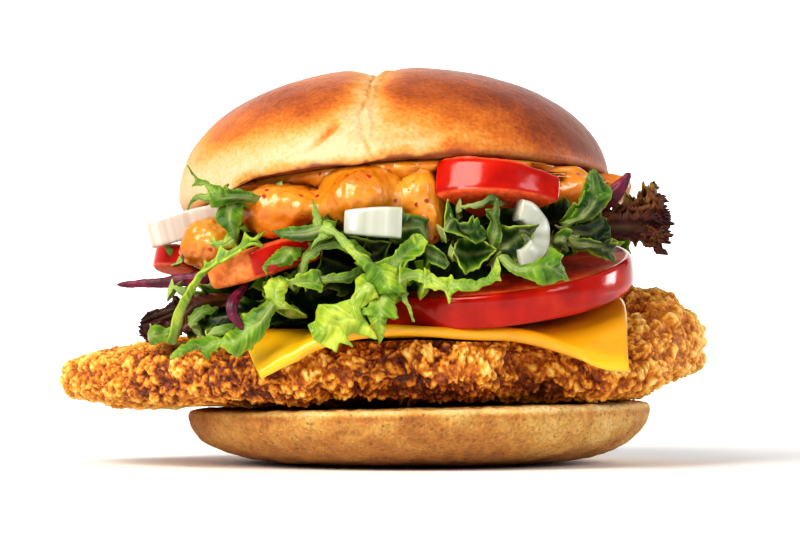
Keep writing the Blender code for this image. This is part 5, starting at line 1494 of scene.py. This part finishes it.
class BunSettings(bpy.types.PropertyGroup):
    """Sizes, colour and point counts of the two buns"""

    crown_radius: length("Crown radius", "Radius of the domed half", CROWN_HALF[0] * MM)
    crown_dome: length("Crown height", "Height of the dome over its widest place",
                       (CROWN_CENTRE[2] + CROWN_HALF[2] - CROWN_EQUATOR_Z) * MM)
    split_depth: length("Split depth", "How far the split sinks into the crust", 1.9 * MM)
    heel_radius: length("Heel radius", "Radius of the flat half", HEEL_RADIUS * MM)
    toasted: shade("Toasted", "Colour of the crown's toasted rim", "#6A280A")
    columns: IntProperty(name="Columns", description="Points round each bun", default=440, min=48)
    rows: IntProperty(name="Rows", description="Points from the crown's top to its rim", default=160, min=24)


class CutletSettings(bpy.types.PropertyGroup):
    """Relief and point counts of the cutlet"""

    crag: length("Crumb relief", "How far the crumb stands out", 1.0 * MM)
    columns: IntProperty(name="Columns", description="Points round the cutlet", default=980, min=60)
    rows: IntProperty(name="Rows", description="Points over its edge", default=100, min=24)


class CheeseSettings(bpy.types.PropertyGroup):
    """Size and colour of the slice"""

    thickness: length("Thickness", "Thickness of the slice", CHEESE_THICKNESS * MM)
    # the thin colour is also the painted shade on the slice's right side
    thin: shade("Thin", "Colour of the slice where it has melted thin", "#C67E06")


class SauceSettings(bpy.types.PropertyGroup):
    """Colour and point counts of the sauce"""

    chilli: shade("Chilli", "Colour of the chilli flakes", "#A81E0A")
    columns: IntProperty(name="Columns", description="Points round the layer", default=520, min=60)
    rows: IntProperty(name="Rows", description="Points down its side", default=130, min=24)


class SaladSettings(bpy.types.PropertyGroup):
    """Size of the leaves"""

    thickness: length("Leaf thickness", "Thickness of a leaf", 0.35 * MM)


def power(label, words, default):
    """A light's power setting, in watts."""
    return FloatProperty(name=label, description=words, default=default, min=0.0, unit="POWER")


class StageSettings(bpy.types.PropertyGroup):
    """Strengths of the lights, and the colour of what is all round"""

    key_power: power("Key", "Power of the key light", 7.6)
    fill_power: power("Fill", "Power of the fill light", 1.7)
    side_power: power("Side", "Power of the side light", 1.2)
    glint_power: power("Glint", "Power of the small light that glints on wet skins", 1.2)
    board_power: power("Board", "Power on the board behind", 45.0)
    ambient: FloatProperty(name="Ambient", description="Strength of the surroundings", default=0.35, min=0.0)
    surroundings: shade("Surroundings", "Colour of the surroundings", "#F4F6FA")


class BURGER_OT_buns(bpy.types.Operator):
    """Adds the crown and the heel"""

    bl_idname = "burger.buns"
    bl_label = "Buns"

    def execute(self, context):
        settings = context.scene.burger_buns
        dress(crown(settings), crust_material(tuple(settings.toasted)), "crown_bun")
        dress(heel(settings), heel_material(), "heel_bun")
        return {"FINISHED"}


class BURGER_OT_cutlet(bpy.types.Operator):
    """Adds the crumbed cutlet"""

    bl_idname = "burger.cutlet"
    bl_label = "Cutlet"

    def execute(self, context):
        dress(cutlet(context.scene.burger_cutlet), cutlet_material(), "pork_cutlet")
        return {"FINISHED"}


class BURGER_OT_cheese(bpy.types.Operator):
    """Adds the cheese slice"""

    bl_idname = "burger.cheese"
    bl_label = "Cheese"

    def execute(self, context):
        settings = context.scene.burger_cheese
        dress(cheese(settings), cheese_material(tuple(settings.thin)), "cheese_slice")
        return {"FINISHED"}


class BURGER_OT_vegetables(bpy.types.Operator):
    """Adds the tomato, onion and cabbage"""

    bl_idname = "burger.vegetables"
    bl_label = "Tomato, Onion and Cabbage"

    def execute(self, context):
        tomatoes()
        onions()
        shreds()
        return {"FINISHED"}


class BURGER_OT_sauce(bpy.types.Operator):
    """Adds the sauce"""

    bl_idname = "burger.sauce"
    bl_label = "Sauce"

    def execute(self, context):
        settings = context.scene.burger_sauce
        finish = sauce_material(tuple(settings.chilli))
        dress(sauce_layer(settings), finish, "sauce")
        dress(sauce_dollop(), finish, "sauce_dollop")
        return {"FINISHED"}


class BURGER_OT_salad(bpy.types.Operator):
    """Adds the salad heap and the loose leaves"""

    bl_idname = "burger.salad"
    bl_label = "Salad"

    def execute(self, context):
        settings = context.scene.burger_salad
        green = leaf_material("green_lettuce", ("#0A2204", "#2A560C", "#6E9A24", "#BED04A"), "#D2DE8C",
                              "#B2CC4C")
        salad(green, settings)
        loose_leaves(green, settings)
        red_leaves(settings)
        return {"FINISHED"}


class BURGER_OT_stage(bpy.types.Operator):
    """Adds the board, the lights and the camera"""

    bl_idname = "burger.stage"
    bl_label = "Stage"

    def execute(self, context):
        studio(context.scene.burger_stage)
        return {"FINISHED"}


class BURGER_PT_panel(bpy.types.Panel):
    """Lists the burger's pieces and their settings"""

    bl_idname = "BURGER_PT_panel"
    bl_label = "Pork Burger"
    bl_space_type = "VIEW_3D"
    bl_region_type = "UI"
    bl_category = "Burger"

    def draw(self, context):
        for name, (_, operator) in PARTS.items():
            box = self.layout.box()
            box.operator(operator)
            settings = getattr(context.scene, name, None)
            for key in settings.__annotations__ if settings else ():
                box.prop(settings, key)


PARTS = {
    "burger_buns": (BunSettings, "burger.buns"),
    "burger_cutlet": (CutletSettings, "burger.cutlet"),
    "burger_cheese": (CheeseSettings, "burger.cheese"),
    "burger_vegetables": (None, "burger.vegetables"),
    "burger_sauce": (SauceSettings, "burger.sauce"),
    "burger_salad": (SaladSettings, "burger.salad"),
    "burger_stage": (StageSettings, "burger.stage"),
}
GROUPS = {name: group for name, (group, _) in PARTS.items() if group}
OPERATORS = (BURGER_OT_buns, BURGER_OT_cutlet, BURGER_OT_cheese, BURGER_OT_vegetables, BURGER_OT_sauce,
             BURGER_OT_salad, BURGER_OT_stage)


def register():
    """Registers the settings, the operators and the panel."""
    for made in (*GROUPS.values(), *OPERATORS, BURGER_PT_panel):
        bpy.utils.register_class(made)
    for name, group in GROUPS.items():
        setattr(bpy.types.Scene, name, PointerProperty(type=group))


def unregister():
    """Takes back what register did."""
    for name in GROUPS:
        delattr(bpy.types.Scene, name)
    for made in (BURGER_PT_panel, *reversed(OPERATORS), *reversed(list(GROUPS.values()))):
        bpy.utils.unregister_class(made)


def main():
    """Builds every piece and the stage."""
    register()
    bpy.ops.burger.buns()
    bpy.ops.burger.cutlet()
    bpy.ops.burger.cheese()
    bpy.ops.burger.vegetables()
    bpy.ops.burger.sauce()
    bpy.ops.burger.salad()
    bpy.ops.burger.stage()


if __name__ == "__main__":
    main()
